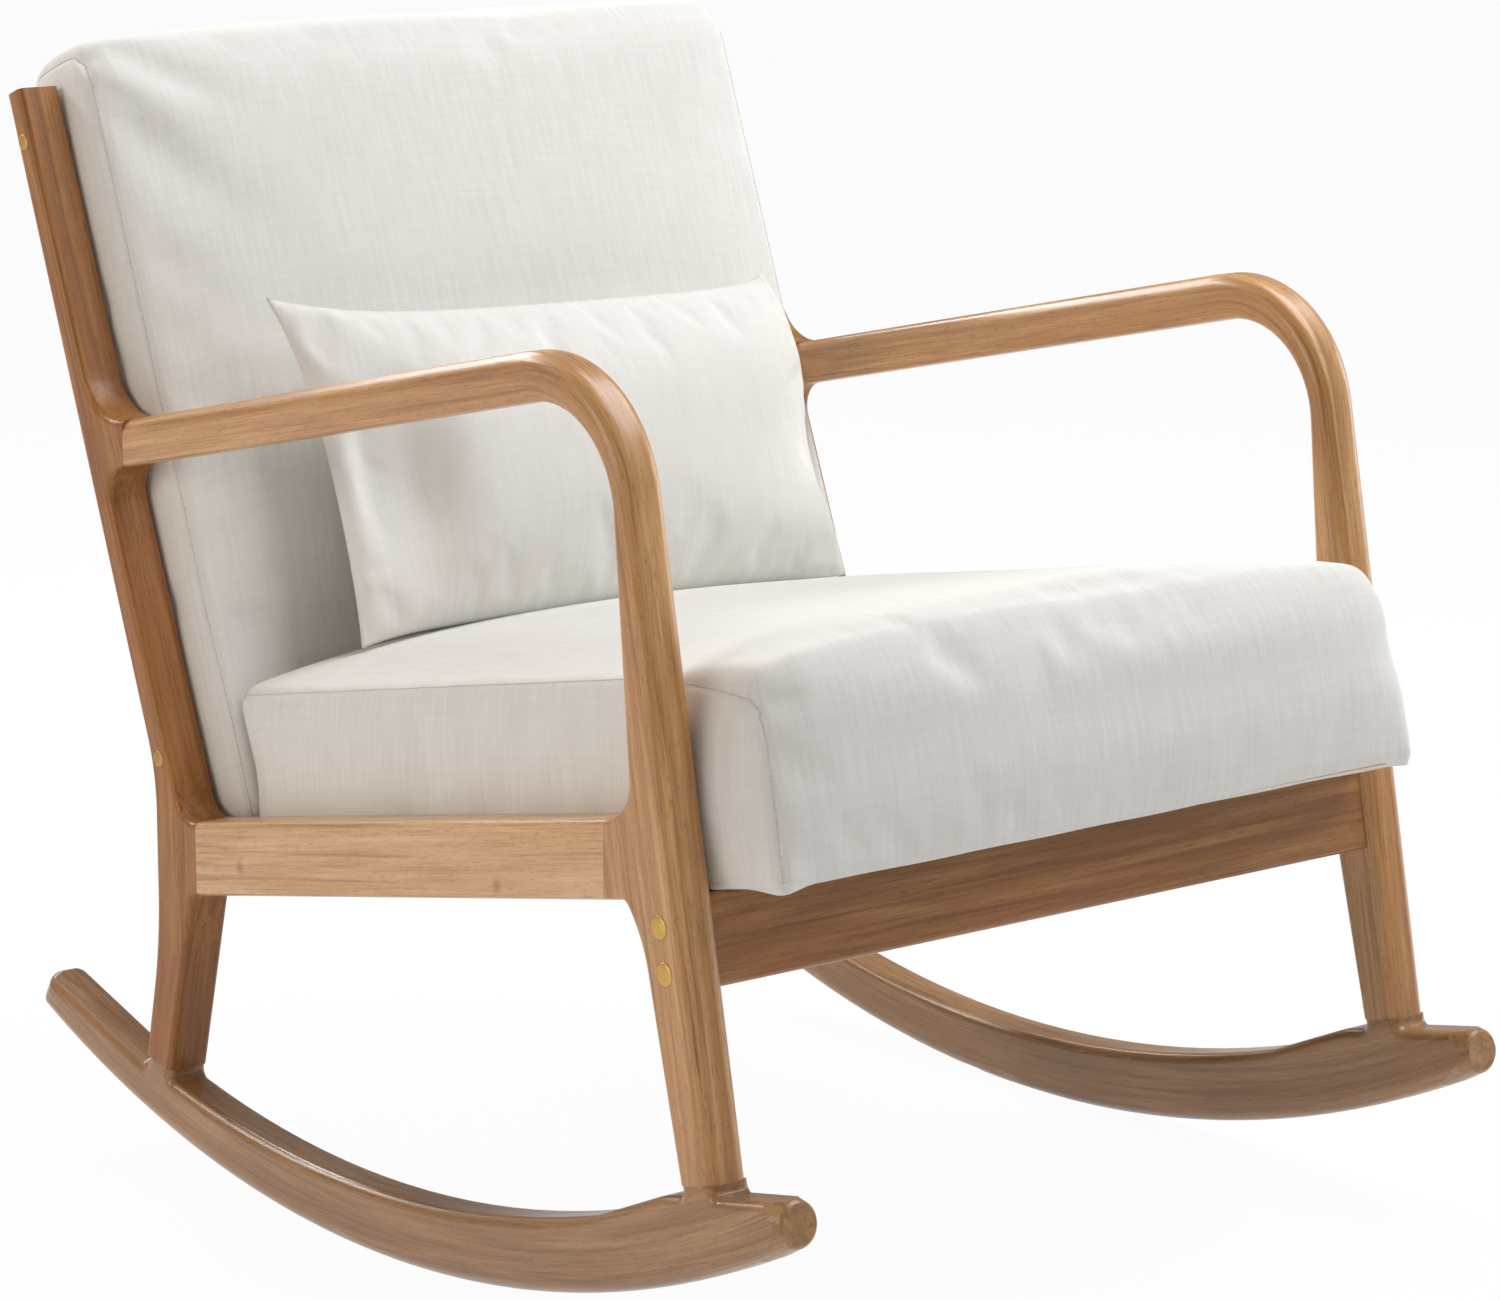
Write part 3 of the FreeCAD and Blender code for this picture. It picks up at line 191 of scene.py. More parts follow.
def linen(name, ground, shade, home, thread=1.9, slub=1.0):
    """Plain-woven linen-look upholstery cloth: matt ivory, with slubs running down the panels and a faint
    weave. Threads are drawn about twice their real width so that they show."""
    material, tree, surface = blank_material(name)
    source = add(tree, "ShaderNodeTexCoord")
    turn = home.to_euler("XYZ")
    place = add(tree, "ShaderNodeMapping", {"Vector": source.outputs["Object"], "Location": home.translation,
                                            "Rotation": turn}, vector_type="TEXTURE").outputs[0]
    facing = add(tree, "ShaderNodeMapping", {"Vector": source.outputs["Normal"], "Rotation": turn},
                 vector_type="TEXTURE").outputs[0]
    facing_parts = add(tree, "ShaderNodeSeparateXYZ", {0: facing})
    sideways = add(tree, "ShaderNodeMath", {0: facing_parts.outputs[0]}, operation="ABSOLUTE").outputs[0]
    side = add(tree, "ShaderNodeMapRange", {0: sideways, 1: 0.62, 2: 0.72}).outputs[0]
    parts = add(tree, "ShaderNodeSeparateXYZ", {0: place})
    run = add(tree, "ShaderNodeMath", {0: parts.outputs[1], 1: parts.outputs[2]}, operation="ADD").outputs[0]
    across = add(tree, "ShaderNodeMix", {0: side, 2: parts.outputs[0], 3: parts.outputs[1]}).outputs[0]
    down = add(tree, "ShaderNodeMix", {0: side, 2: run, 3: parts.outputs[2]}).outputs[0]
    cloth = add(tree, "ShaderNodeCombineXYZ", {0: across, 1: down, 2: side}).outputs[0]

    def streaks(wide, long, **feeds):
        fitted = add(tree, "ShaderNodeMapping", {"Vector": cloth, "Scale": (1 / (wide * MM), 1 / (long * MM), 3)})
        return add(tree, "ShaderNodeTexNoise", {"Vector": fitted.outputs[0], "Scale": 1.0, **feeds}).outputs[0]

    warp_slubs = streaks(3.4, 55, Detail=3.0, Roughness=0.6)
    weft_slubs = streaks(70, 3.2, Detail=2.0)
    clouds = add(tree, "ShaderNodeTexNoise", {"Vector": place, "Scale": 9.0, "Detail": 2.0}).outputs[0]
    warp = add(tree, "ShaderNodeMath", {0: across, 1: 2 * math.pi / (thread * MM)}, operation="MULTIPLY").outputs[0]
    weft = add(tree, "ShaderNodeMath", {0: down, 1: 2 * math.pi / (thread * MM)}, operation="MULTIPLY").outputs[0]
    warp_wave = add(tree, "ShaderNodeMath", {0: warp}, operation="SINE").outputs[0]
    weft_wave = add(tree, "ShaderNodeMath", {0: weft}, operation="SINE").outputs[0]
    weave = add(tree, "ShaderNodeMath", {0: warp_wave, 1: weft_wave}, operation="MULTIPLY").outputs[0]
    slubs = add(tree, "ShaderNodeMath", {0: weft_slubs, 1: 0.45, 2: warp_slubs}, operation="MULTIPLY_ADD").outputs[0]
    slub_share = add(tree, "ShaderNodeMapRange", {0: slubs, 1: 0.45, 2: 1.0, 4: 0.42 * slub}).outputs[0]
    cloud_share = add(tree, "ShaderNodeMapRange", {0: clouds, 1: 0.35, 2: 0.75, 4: 0.12}).outputs[0]
    shares = add(tree, "ShaderNodeMath", {0: slub_share, 1: cloud_share}, operation="ADD").outputs[0]
    weave_share = add(tree, "ShaderNodeMath", {0: weave, 1: 0.05, 2: shares}, operation="MULTIPLY_ADD").outputs[0]
    colour = add(tree, "ShaderNodeMix", {0: weave_share, 6: tint(ground), 7: tint(shade)}, data_type="RGBA").outputs[2]
    tree.links.new(colour, surface.inputs["Base Color"])
    thread_height = add(tree, "ShaderNodeMath", {0: weave, 1: 0.22, 2: slubs}, operation="MULTIPLY_ADD").outputs[0]
    relief = add(tree, "ShaderNodeBump", {"Strength": 0.35, "Distance": 0.5 * MM, "Height": thread_height}).outputs[0]
    tree.links.new(relief, surface.inputs["Normal"])
    surface.inputs["Roughness"].default_value = 0.92
    surface.inputs["Specular IOR Level"].default_value = 0.25
    surface.inputs["Sheen Weight"].default_value = 0.12
    surface.inputs["Sheen Roughness"].default_value = 0.5
    return material


def speckled(name, light, dark, size, roughness, metallic=0.0, stretch=(1, 1, 1), relief=0.2):
    """A plain stock material whose colour and relief vary with grains of so many millimetres."""
    material, tree, surface = blank_material(name)
    place = add(tree, "ShaderNodeTexCoord").outputs["Object"]
    scale = [share / (size * MM) for share in stretch]
    fitted = add(tree, "ShaderNodeMapping", {"Vector": place, "Scale": scale}).outputs[0]
    grains = add(tree, "ShaderNodeTexNoise", {"Vector": fitted, "Scale": 1.0, "Detail": 2.0}).outputs[0]
    share = add(tree, "ShaderNodeMapRange", {0: grains, 1: 0.35, 2: 0.7}).outputs[0]
    colour = add(tree, "ShaderNodeMix", {0: share, 6: tint(light), 7: tint(dark)}, data_type="RGBA").outputs[2]
    tree.links.new(colour, surface.inputs["Base Color"])
    bump = add(tree, "ShaderNodeBump", {"Strength": relief, "Distance": 0.3 * MM, "Height": grains}).outputs[0]
    tree.links.new(bump, surface.inputs["Normal"])
    surface.inputs["Roughness"].default_value = roughness
    surface.inputs["Metallic"].default_value = metallic
    return material


QUARTER = math.pi / 2
arm_wood = lacquered_hardwood("hardwood_arms_and_front_legs", grain_in_arm, "#d7a770", "#ba844f", "#754721")
post_wood = lacquered_hardwood("hardwood_rear_posts", grain_in_post, "#b57d43", "#985f2e", "#58320f", 0.31, coat=0.4)
rail_wood = lacquered_hardwood("hardwood_side_rails", grain_in_bar((QUARTER + math.radians(10.55), 0, 0)),
                               "#e1b788", "#cd9f6b", "#8b592b", 0.53,
                               knots=((-FACE_X, 140 * MM, 246 * MM), (-FACE_X, -162 * MM, 290 * MM)))
rocker_wood = lacquered_hardwood("hardwood_rockers", grain_in_rocker, "#b88d60", "#9c7247", "#644022", 0.77)
cross_wood = lacquered_hardwood("hardwood_cross_rails", grain_in_bar((0, QUARTER, 0)),
                                "#bd8753", "#9d6839", "#603919", 0.19)
inner_wood = speckled("sawn_pine", "#cfae83", "#b48d5f", 6, 0.75, stretch=(1, 0.15, 0.15))
linen_seat = linen("ivory_linen_seat", "#e8e7e3", "#cdcac3", SEAT)
linen_back = linen("ivory_linen_back", "#e8e7e3", "#cdcac3", BACK)
linen_pillow = linen("ivory_linen_pillow", "#ebeae6", "#d2cfc9", PILLOW, slub=0.7)
thread = speckled("linen_sewing_thread", "#d9d5cd", "#c4bfb5", 1, 0.9)
foam = speckled("open_cell_foam", "#e6dcb8", "#cfc294", 1.2, 0.95)
fibre_fill = speckled("polyester_fibre", "#f2f2ef", "#dededb", 3, 0.95)
webbing = speckled("woven_elastic_webbing", "#6a6258", "#4a433b", 1.6, 0.85)
dust_cloth = speckled("black_nonwoven_dust_cloth", "#2b2b2c", "#1c1c1d", 1.4, 0.9)
zinc_steel = speckled("zinc_plated_steel", "#a9abac", "#8b8d8e", 4, 0.38, metallic=1.0, relief=0.05)
brass = speckled("satin_turned_brass", "#d9b16a", "#cda35b", 6, 0.48, metallic=1.0, relief=0.03)
aged_brass = speckled("aged_brass", "#c8a263", "#bb9558", 6, 0.55, metallic=1.0, relief=0.03)

FINISHES = {
    arm_wood: ("arm_left", "arm_right", "front_leg_left", "front_leg_right"),
    post_wood: ("rear_post_left", "rear_post_right"),
    rail_wood: ("side_rail_left", "side_rail_right"),
    rocker_wood: ("rocker_left", "rocker_right"),
    cross_wood: ("front_apron", "rear_rail"),
    inner_wood: ("seat_frame_front", "seat_frame_rear", "seat_frame_left", "seat_frame_right",
                 "seat_corner_blocks", "back_stile_left", "back_stile_right", "back_top_rail",
                 "back_bottom_rail", "arm_dowels", "side_rail_dowels", "rocker_dowels", "rear_rail_dowels"),
    linen_seat: ("seat_cover",),
    linen_back: ("back_cover", "back_panel"),
    linen_pillow: ("pillow_cover",),
    foam: ("seat_foam", "back_foam", "back_rear_foam"),
    fibre_fill: ("pillow_filling",),
    webbing: ("seat_webbing", "back_webbing"),
    dust_cloth: ("seat_dust_cover",),
    zinc_steel: ("apron_bolts", "back_bolts", "apron_barrel_nuts", "back_inserts", "back_washers", "seat_screws"),
    brass: ("leg_caps",),
    aged_brass: ("post_caps",),
}
for finish, names in FINISHES.items():
    for name in names:
        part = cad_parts[name]
        for holder in part.material_slots:
            holder.material = finish


# Boxed cushions: a main panel wraps over the front and top, and a side panel closes each end with a seam

def smooth(value, low, high):
    share = max(0.0, min(1.0, (value - low) / (high - low)))
    return share * share * (3 - 2 * share)


def box_lattice(counts):
    """Vertices and outward quads on the surface of a box of so many cells along each axis."""
    index = {}
    quads = []

    def spot(*cell):
        return index.setdefault(cell, len(index))

    for axis in range(3):
        first, second = (axis + 1) % 3, (axis + 2) % 3
        for end in (0, counts[axis]):
            for one in range(counts[first]):
                for two in range(counts[second]):
                    ring = []
                    for step_one, step_two in ((0, 0), (1, 0), (1, 1), (0, 1)):
                        cell = [0, 0, 0]
                        cell[axis] = end
                        cell[first] = one + step_one
                        cell[second] = two + step_two
                        ring.append(spot(*cell))
                    quads.append(ring if end else ring[::-1])
    return index, quads


def rounded(point, low, high, round_low, round_high):
    """Moves a point of a box's surface onto the same box with rounded edges."""
    base = Vector()
    lean = Vector()
    reach = Vector()
    for axis in range(3):
        inner_low = low[axis] + round_low[axis]
        inner_high = high[axis] - round_high[axis]
        base[axis] = min(max(point[axis], inner_low), inner_high)
        reach[axis] = round_high[axis] if point[axis] > inner_high else round_low[axis]
        lean[axis] = (point[axis] - base[axis]) / reach[axis]
    most = max(abs(share) for share in lean)
    if most == 0:
        return base
    lean *= most / lean.length
    return base + Vector(lean[axis] * reach[axis] for axis in range(3))


def piece_from(name, points, faces, material):
    mesh = bpy.data.meshes.new(name)
    mesh.from_pydata(points, [], faces)
    mesh.materials.append(material)
    mesh.shade_smooth()
    piece = bpy.data.objects.new(name, mesh)
    scene.collection.objects.link(piece)
    return piece


def inflate(piece, sewn, pressure, frames, cap, spare, stiffness=15.0, bending=0.5):
    """Lets air press the cloth out between the points that are sewn down, then keeps the result."""
    held = piece.vertex_groups.new(name="sewn")
    for point, weight in sewn.items():
        held.add([point], weight, "REPLACE")
    cloth = piece.modifiers.new("Cloth", "CLOTH")
    settings = cloth.settings
    settings.quality = 6
    settings.mass = 0.25
    settings.air_damping = 4.0
    settings.tension_stiffness = stiffness
    settings.compression_stiffness = stiffness
    settings.shear_stiffness = stiffness / 2
    settings.bending_stiffness = bending
    settings.vertex_group_mass = held.name
    settings.shrink_min = -spare
    settings.use_pressure = True
    settings.uniform_pressure_force = pressure
    settings.effector_weights.gravity = 0
    cloth.collision_settings.use_collision = False
    cloth.point_cache.frame_start = 1
    cloth.point_cache.frame_end = frames
    for moment in range(1, frames + 1):
        scene.frame_set(moment)
    settled = piece.evaluated_get(bpy.context.evaluated_depsgraph_get())
    swollen = [vertex.co.copy() for vertex in settled.data.vertices]
    piece.modifiers.remove(cloth)
    piece.vertex_groups.clear()
    scene.frame_set(1)
    for vertex, place in zip(piece.data.vertices, swollen):
        step = place - vertex.co
        if step.length > 0:
            vertex.co += step * (cap * math.tanh(step.length / cap) / step.length)


def subdivided(piece, seams=()):
    """One level of subdivision, with the seams kept as creases."""
    mesh = piece.data
    wanted = {frozenset(pair) for chain in seams for pair in zip(chain, chain[1:])}
    crease = mesh.attributes.new("crease_edge", "FLOAT", "EDGE")
    for edge in mesh.edges:
        crease.data[edge.index].value = 0.9 if frozenset(edge.vertices) in wanted else 0.0
    finer = piece.modifiers.new("Finer", "SUBSURF")
    finer.levels = 1
    finer.render_levels = 1
    result = bpy.data.meshes.new_from_object(piece.evaluated_get(bpy.context.evaluated_depsgraph_get()))
    piece.modifiers.clear()
    piece.data = result
    bpy.data.meshes.remove(mesh)
    result.name = piece.name


def placed(piece, home):
    piece.data.transform(home)
    piece.data.update()


SEAT_LOW = Vector((-293, -411, 0)) * MM
SEAT_HIGH = Vector((293, 165, 142)) * MM
SEAT_CELLS = (82, 80, 20)


def seat_point(cell):
    """A point of the seat cushion before it is filled: waterfall front, crowned top, leaning rear face."""
    share = [at / count for at, count in zip(cell, SEAT_CELLS)]
    point = Vector(low + (high - low) * part for low, high, part in zip(SEAT_LOW, SEAT_HIGH, share))
    far = smooth(share[0], 0.3, 0.7)
    fore = 1 - smooth(share[1], 0.0, 0.24)
    top_round = (15 + (45 - 17 * far) * fore) * MM
    up = smooth(point.z, 0.0, 45 * MM)
    side_round = (8 + 8 * up) * MM
    front_round = (10 + 14 * far + 4 * (1 - far) * up) * MM
    point = rounded(point, SEAT_LOW, SEAT_HIGH, Vector((side_round, front_round, 2 * MM)),
                    Vector((side_round, 14 * MM, top_round)))
    across = point.x / SEAT_HIGH.x
    raised = smooth(point.z, 60 * MM, 140 * MM)
    point.z += (15 + 5 * smooth(share[1], 0.3, 0.7)) * MM * raised * (1 - abs(across) ** 2.4)
    point.y += 0.1629 * point.z * smooth(share[1], 0.6, 1.0)
    point.y += 11 * MM * (1 - smooth(point.z, 0.0, 75 * MM)) * smooth(share[1], 0.75, 1.0)
    clear = smooth(point.z, 43 * MM, 90 * MM)
    point.x *= 1 - 0.012 * clear
    point.y += (4 * clear - 5 * (1 - far)) * MM * (1 - smooth(share[1], 0.0, 0.2))
    swept = (smooth(abs(across), 0.85, 1.0) * (1 - 0.5 * far)
             * math.exp(-(cell[1] / 5) ** 2 - ((SEAT_CELLS[2] - cell[2]) / 5) ** 2))
    point += Vector((0, 5, -5)) * (MM * swept)
    if cell[2] == 0:
        inner = min(cell[0], SEAT_CELLS[0] - cell[0], cell[1], SEAT_CELLS[1] - cell[1])
        point.z += 1.3 * MM * smooth(inner, 0, 2)
    corner = smooth(abs(across), 0.9, 1.0) * (1 - smooth(share[1], 0.0, 0.07)) * (1 - smooth(share[2], 0.0, 0.2))
    point += (Vector((-1.5, -2.0, -4.0)) if across < 0 else Vector((-1.0, 0.0, -2.0))) * (MM * corner)
    return point


def side_seams(index, cells):
    """The two chains of vertices round the side panels, from the foot of the front over the top to the rear."""
    chains = []
    for end in (0, cells[0]):
        chain = [(end, 0, up) for up in range(cells[2] + 1)]
        chain += [(end, along, cells[2]) for along in range(1, cells[1] + 1)]
        chain += [(end, cells[1], up) for up in range(cells[2] - 1, -1, -1)]
        chains.append([index[cell] for cell in chain])
    return chains


def pressed_seams(piece, paths, depth, width):
    """Draws the cloth in along its seams."""
    points = [point for path in paths for point in path]
    tree = KDTree(len(points))
    for index, point in enumerate(points):
        tree.insert(point, index)
    tree.balance()
    normals = [vertex.normal.copy() for vertex in piece.data.vertices]
    for vertex, normal in zip(piece.data.vertices, normals):
        _, _, distance = tree.find(vertex.co)
        if distance < 4 * width:
            vertex.co -= normal * (depth * math.exp(-(distance / width) ** 2))


def fine_path(points, step=1.5 * MM):
    """The same path with points every so often."""
    path = []
    for start, end in zip(points, points[1:]):
        pieces = max(1, round((end - start).length / step))
        path += [start.lerp(end, at / pieces) for at in range(pieces)]
    return path + [points[-1]]


seat_index, seat_faces = box_lattice(SEAT_CELLS)
seat_cells = list(seat_index)
seat_cushion = piece_from("seat_cushion", [seat_point(cell) for cell in seat_cells], seat_faces, linen_seat)
seat_chains = side_seams(seat_index, SEAT_CELLS)
seat_sewn = {point: 1.0 for chain in seat_chains for point in chain}
for cell, point in seat_index.items():
    if cell[2] == 0 or cell[1] == SEAT_CELLS[1]:
        seat_sewn[point] = 1.0
inflate(seat_cushion, seat_sewn, pressure=2.6, frames=20, cap=9 * MM, spare=0.003, bending=3.0)
seat_seams = [fine_path([seat_cushion.data.vertices[point].co.copy() for point in chain]) for chain in seat_chains]
subdivided(seat_cushion, seat_chains)
pressed_seams(seat_cushion, seat_seams, 1.6 * MM, 3.0 * MM)
placed(seat_cushion, SEAT)

BACK_LOW = Vector((-292, -89, 0)) * MM
BACK_HIGH = Vector((292, 0.5, 568)) * MM
BACK_CELLS = (82, 12, 80)


def back_point(cell):
    """A point of the back cushion before it is filled: crowned front, round top, flat rear."""
    share = [at / count for at, count in zip(cell, BACK_CELLS)]
    point = Vector(low + (high - low) * part for low, high, part in zip(BACK_LOW, BACK_HIGH, share))
    lift = smooth(share[2], 0.1, 0.4)
    far = smooth(point.x, 80 * MM, 240 * MM)
    point = rounded(point, BACK_LOW, BACK_HIGH, Vector((10 + 10 * lift, 12 + (18 - 14 * far) * lift, 4)) * MM,
                    Vector((10, 24, 36 - 10 * far)) * MM)
    across = point.x / BACK_HIGH.x
    front = smooth(-point.y, 40 * MM, 80 * MM)
    height = point.z / BACK_HIGH.z
    belly = smooth(height, 0.17, 0.5) * (1 - smooth(height, 0.62, 1.02))
    point.y -= 10 * MM * front * belly * (1 - abs(across) ** 3)
    point.z += 11 * MM * smooth(height, 0.7, 1.0) * (1 - across ** 2)
    spread = smooth(-point.y, 54 * MM, 72 * MM) * smooth(height, 0.08, 0.25) * (1 - smooth(height, 0.94, 1.02))
    point.x += (12.5 if across > 0 else 2) * MM * spread * across ** 3
    under_top = math.exp(-((BACK_CELLS[2] - cell[2]) / 4) ** 2) * smooth(-across, 0.8, 1.0)
    point += Vector((0, 5, -6)) * (MM * under_top * math.exp(-(cell[1] / 3) ** 2))
    point += Vector((0, -3, -6)) * (MM * under_top * math.exp(-((BACK_CELLS[1] - cell[1]) / 3) ** 2))
    point.y += 21 * MM * smooth(point.y, -60 * MM, 0.0) * smooth(height, 0.6, 0.97)
    point.z -= 15 * MM * smooth(-point.y, 15 * MM, 80 * MM) * (1 - smooth(height, 0.0, 0.08))
    return point


back_index, back_faces = box_lattice(BACK_CELLS)
back_cells = list(back_index)
back_cushion = piece_from("back_cushion", [back_point(cell) for cell in back_cells], back_faces, linen_back)
back_chains = side_seams(back_index, BACK_CELLS)
back_sewn = {point: 1.0 for chain in back_chains for point in chain}
for cell, point in back_index.items():
    if cell[2] == 0 or cell[1] == BACK_CELLS[1]:
        back_sewn[point] = 1.0
    elif cell[1] == 0 and cell[2] < 17:
        back_sewn[point] = 1.0
inflate(back_cushion, back_sewn, pressure=2.2, frames=20, cap=8 * MM, spare=0.002, bending=6.0)
back_seams = [fine_path([back_cushion.data.vertices[point].co.copy() for point in chain]) for chain in back_chains]
subdivided(back_cushion, back_chains)
pressed_seams(back_cushion, back_seams, 1.6 * MM, 3.0 * MM)
placed(back_cushion, BACK)


# Lumbar pillow: two panels sewn together round a knife edge and filled

PILLOW_CELLS = (100, 54)
PILLOW_LOW = Vector((-218, -120)) * MM
PILLOW_HIGH = Vector((232, 111)) * MM
# Each ear: the corner it grows from, how far it reaches out, and how soon the edges come back
PILLOW_EARS = (((-218, 111), (-29, 20), 45), ((-218, -120), (-6, -10), 32), ((232, 111), (-22, 11), 32))


def pillow_point(face, one, two):
    """A point of the pillow before it is filled: a knife-edged form with flat ears at its corners."""
    a = one / PILLOW_CELLS[0]
    b = two / PILLOW_CELLS[1]
    x = PILLOW_LOW.x + (PILLOW_HIGH.x - PILLOW_LOW.x) * a
    z = PILLOW_LOW.y + (PILLOW_HIGH.y - PILLOW_LOW.y) * b
    loft = 39 * MM * ((1 - abs(2 * a - 1) ** (3 if a < 0.5 else 4)) * (1 - abs(2 * b - 1) ** 2.4)) ** 0.62
    inset = min(one, PILLOW_CELLS[0] - one, two, PILLOW_CELLS[1] - two)
    loft += 2 * MM * smooth(inset, 0, 2)
    point = Vector((x - 11 * MM * math.exp(-((b - 0.42) / 0.22) ** 2) * smooth(a, 0.6, 1.0), face * loft, z))
    for corner, reach, fade in PILLOW_EARS:
        apart = abs(x - corner[0] * MM) + abs(z - corner[1] * MM)
        point += Vector((reach[0], 0, reach[1])) * (MM * math.exp(-apart / (fade * MM)))
    return point


def pillow_points():
    """A pair of panels that share their rim."""
    points = []
    index = {}
    wide, tall = PILLOW_CELLS
    for face in (-1, 1):
        for one in range(wide + 1):
            for two in range(tall + 1):
                rim = one in (0, wide) or two in (0, tall)
                key = (0, one, two) if rim else (face, one, two)
                if key not in index:
                    index[key] = len(points)
                    points.append(pillow_point(*key))
    quads = []
    for face in (-1, 1):
        for one in range(wide):
            for two in range(tall):
                ring = [(one, two), (one + 1, two), (one + 1, two + 1), (one, two + 1)]
                corners = [index.get((0, *cell), index.get((face, *cell))) for cell in ring]
                quads.append(corners if face < 0 else corners[::-1])
    rim = [(one, 0) for one in range(wide)] + [(wide, two) for two in range(tall)]
    rim += [(one, tall) for one in range(wide, 0, -1)] + [(0, two) for two in range(tall, 0, -1)]
    return points, quads, [index[(0, *cell)] for cell in rim]


pillow_verts, pillow_quads, pillow_rim = pillow_points()
pillow = piece_from("lumbar_pillow", pillow_verts, pillow_quads, linen_pillow)
inflate(pillow, {point: 1.0 for point in pillow_rim}, pressure=3.0, frames=20, cap=12 * MM, spare=0.012, bending=1.5)
for vertex in pillow.data.vertices:
    aside = vertex.co.x + 166 * MM
    dent = math.exp(-(aside / ((26 if aside > 0 else 60) * MM)) ** 2 - ((vertex.co.z + 8 * MM) / (70 * MM)) ** 2)
    vertex.co.y += 26 * MM * dent * smooth(-vertex.co.y, 6 * MM, 26 * MM)
subdivided(pillow, [pillow_rim + pillow_rim[:1]])
placed(pillow, PILLOW)


# What repeats along a path or stands at set points: sewing thread, hem, staples and caps

def grower(name, inputs):
    """An empty geometry tree with named inputs."""
    tree = bpy.data.node_groups.new(name, "GeometryNodeTree")
    tree.interface.new_socket(name="Geometry", in_out="OUTPUT", socket_type="NodeSocketGeometry")
    tree.interface.new_socket(name="Geometry", in_out="INPUT", socket_type="NodeSocketGeometry")
    for label, kind in inputs:
        tree.interface.new_socket(name=label, in_out="INPUT", socket_type="NodeSocket" + kind)
    return tree, add(tree, "NodeGroupInput").outputs


def finish_tree(tree, shape, material):
    whole = add(tree, "GeometryNodeRealizeInstances", {"Geometry": shape}).outputs[0]
    soft = add(tree, "GeometryNodeSetShadeSmooth", {"Geometry": whole}).outputs[0]
    clad = add(tree, "GeometryNodeSetMaterial", {"Geometry": soft, "Material": material}).outputs[0]
    add(tree, "NodeGroupOutput", {"Geometry": clad})


def bead_row():
    """Slim beads laid end to end along each path: stitches or staple crowns."""
    tree, given = grower("bead_row", [("Spacing", "Float"), ("Length", "Float"), ("Width", "Float"),
                                      ("Material", "Material")])
    curve = add(tree, "GeometryNodeMeshToCurve", {"Mesh": given["Geometry"]}).outputs[0]
    spaced = add(tree, "GeometryNodeResampleCurve", {"Curve": curve, "Length": given["Spacing"]}, mode="LENGTH")
    tangent = add(tree, "GeometryNodeInputTangent").outputs[0]
    turn = add(tree, "FunctionNodeAlignRotationToVector", {"Vector": tangent}, axis="Z").outputs[0]
    bead = add(tree, "GeometryNodeMeshUVSphere", {"Segments": 6, "Rings": 4, "Radius": 0.5}).outputs[0]
    size = add(tree, "ShaderNodeCombineXYZ", {0: given["Width"], 1: given["Width"], 2: given["Length"]}).outputs[0]
    row = add(tree, "GeometryNodeInstanceOnPoints", {"Points": spaced.outputs[0], "Instance": bead,
                                                     "Rotation": turn, "Scale": size}).outputs[0]
    finish_tree(tree, row, given["Material"])
    return tree


def flat_band():
    """A folded band of cloth that follows a path and stands on its edge."""
    tree, given = grower("flat_band", [("Height", "Float"), ("Thickness", "Float"), ("Material", "Material")])
    curve = add(tree, "GeometryNodeMeshToCurve", {"Mesh": given["Geometry"]}).outputs[0]
    upright = add(tree, "GeometryNodeSetCurveNormal", {"Curve": curve}, mode="Z_UP").outputs[0]
    ring = add(tree, "GeometryNodeCurvePrimitiveCircle", {"Resolution": 10, "Radius": 0.5}).outputs[0]
    size = add(tree, "ShaderNodeCombineXYZ", {0: given["Thickness"], 1: given["Height"], 2: 1.0}).outputs[0]
    section = add(tree, "GeometryNodeTransform", {"Geometry": ring, "Scale": size}).outputs[0]
    band = add(tree, "GeometryNodeCurveToMesh", {"Curve": upright, "Profile Curve": section, "Fill Caps": True})
    finish_tree(tree, band.outputs[0], given["Material"])
    return tree


def domed_buttons():
    """A low dome at each point, facing along X."""
    tree, given = grower("domed_buttons", [("Diameter", "Float"), ("Rise", "Float"), ("Material", "Material")])
    ball = add(tree, "GeometryNodeMeshUVSphere", {"Segments": 28, "Rings": 16, "Radius": 1.0}).outputs[0]
    half = add(tree, "ShaderNodeMath", {0: given["Diameter"], 1: 0.5}, operation="MULTIPLY").outputs[0]
    size = add(tree, "ShaderNodeCombineXYZ", {0: given["Rise"], 1: half, 2: half}).outputs[0]
    spots = add(tree, "GeometryNodeInstanceOnPoints", {"Points": given["Geometry"], "Instance": ball,
                                                       "Scale": size}).outputs[0]
    finish_tree(tree, spots, given["Material"])
    return tree


def grown(name, paths, tree, **settings):
    """Runs a geometry tree on paths or on single points, and keeps the mesh that it makes."""
    points = [point for path in paths for point in path]
    edges = []
    start = 0
    for path in paths:
        edges += [(at, at + 1) for at in range(start, start + len(path) - 1)]
        start += len(path)
    seed = bpy.data.meshes.new(name + "_paths")
    seed.from_pydata(points, edges, [])
    piece = bpy.data.objects.new(name, seed)
    scene.collection.objects.link(piece)
    grow = piece.modifiers.new("Grow", "NODES")
    grow.node_group = tree
    for socket in tree.interface.items_tree:
        if socket.in_out == "INPUT" and socket.name in settings:
            grow[socket.identifier] = settings[socket.name]
    result = bpy.data.meshes.new_from_object(piece.evaluated_get(bpy.context.evaluated_depsgraph_get()))
    piece.modifiers.clear()
    piece.data = result
    result.name = name
    bpy.data.meshes.remove(seed)
    return piece


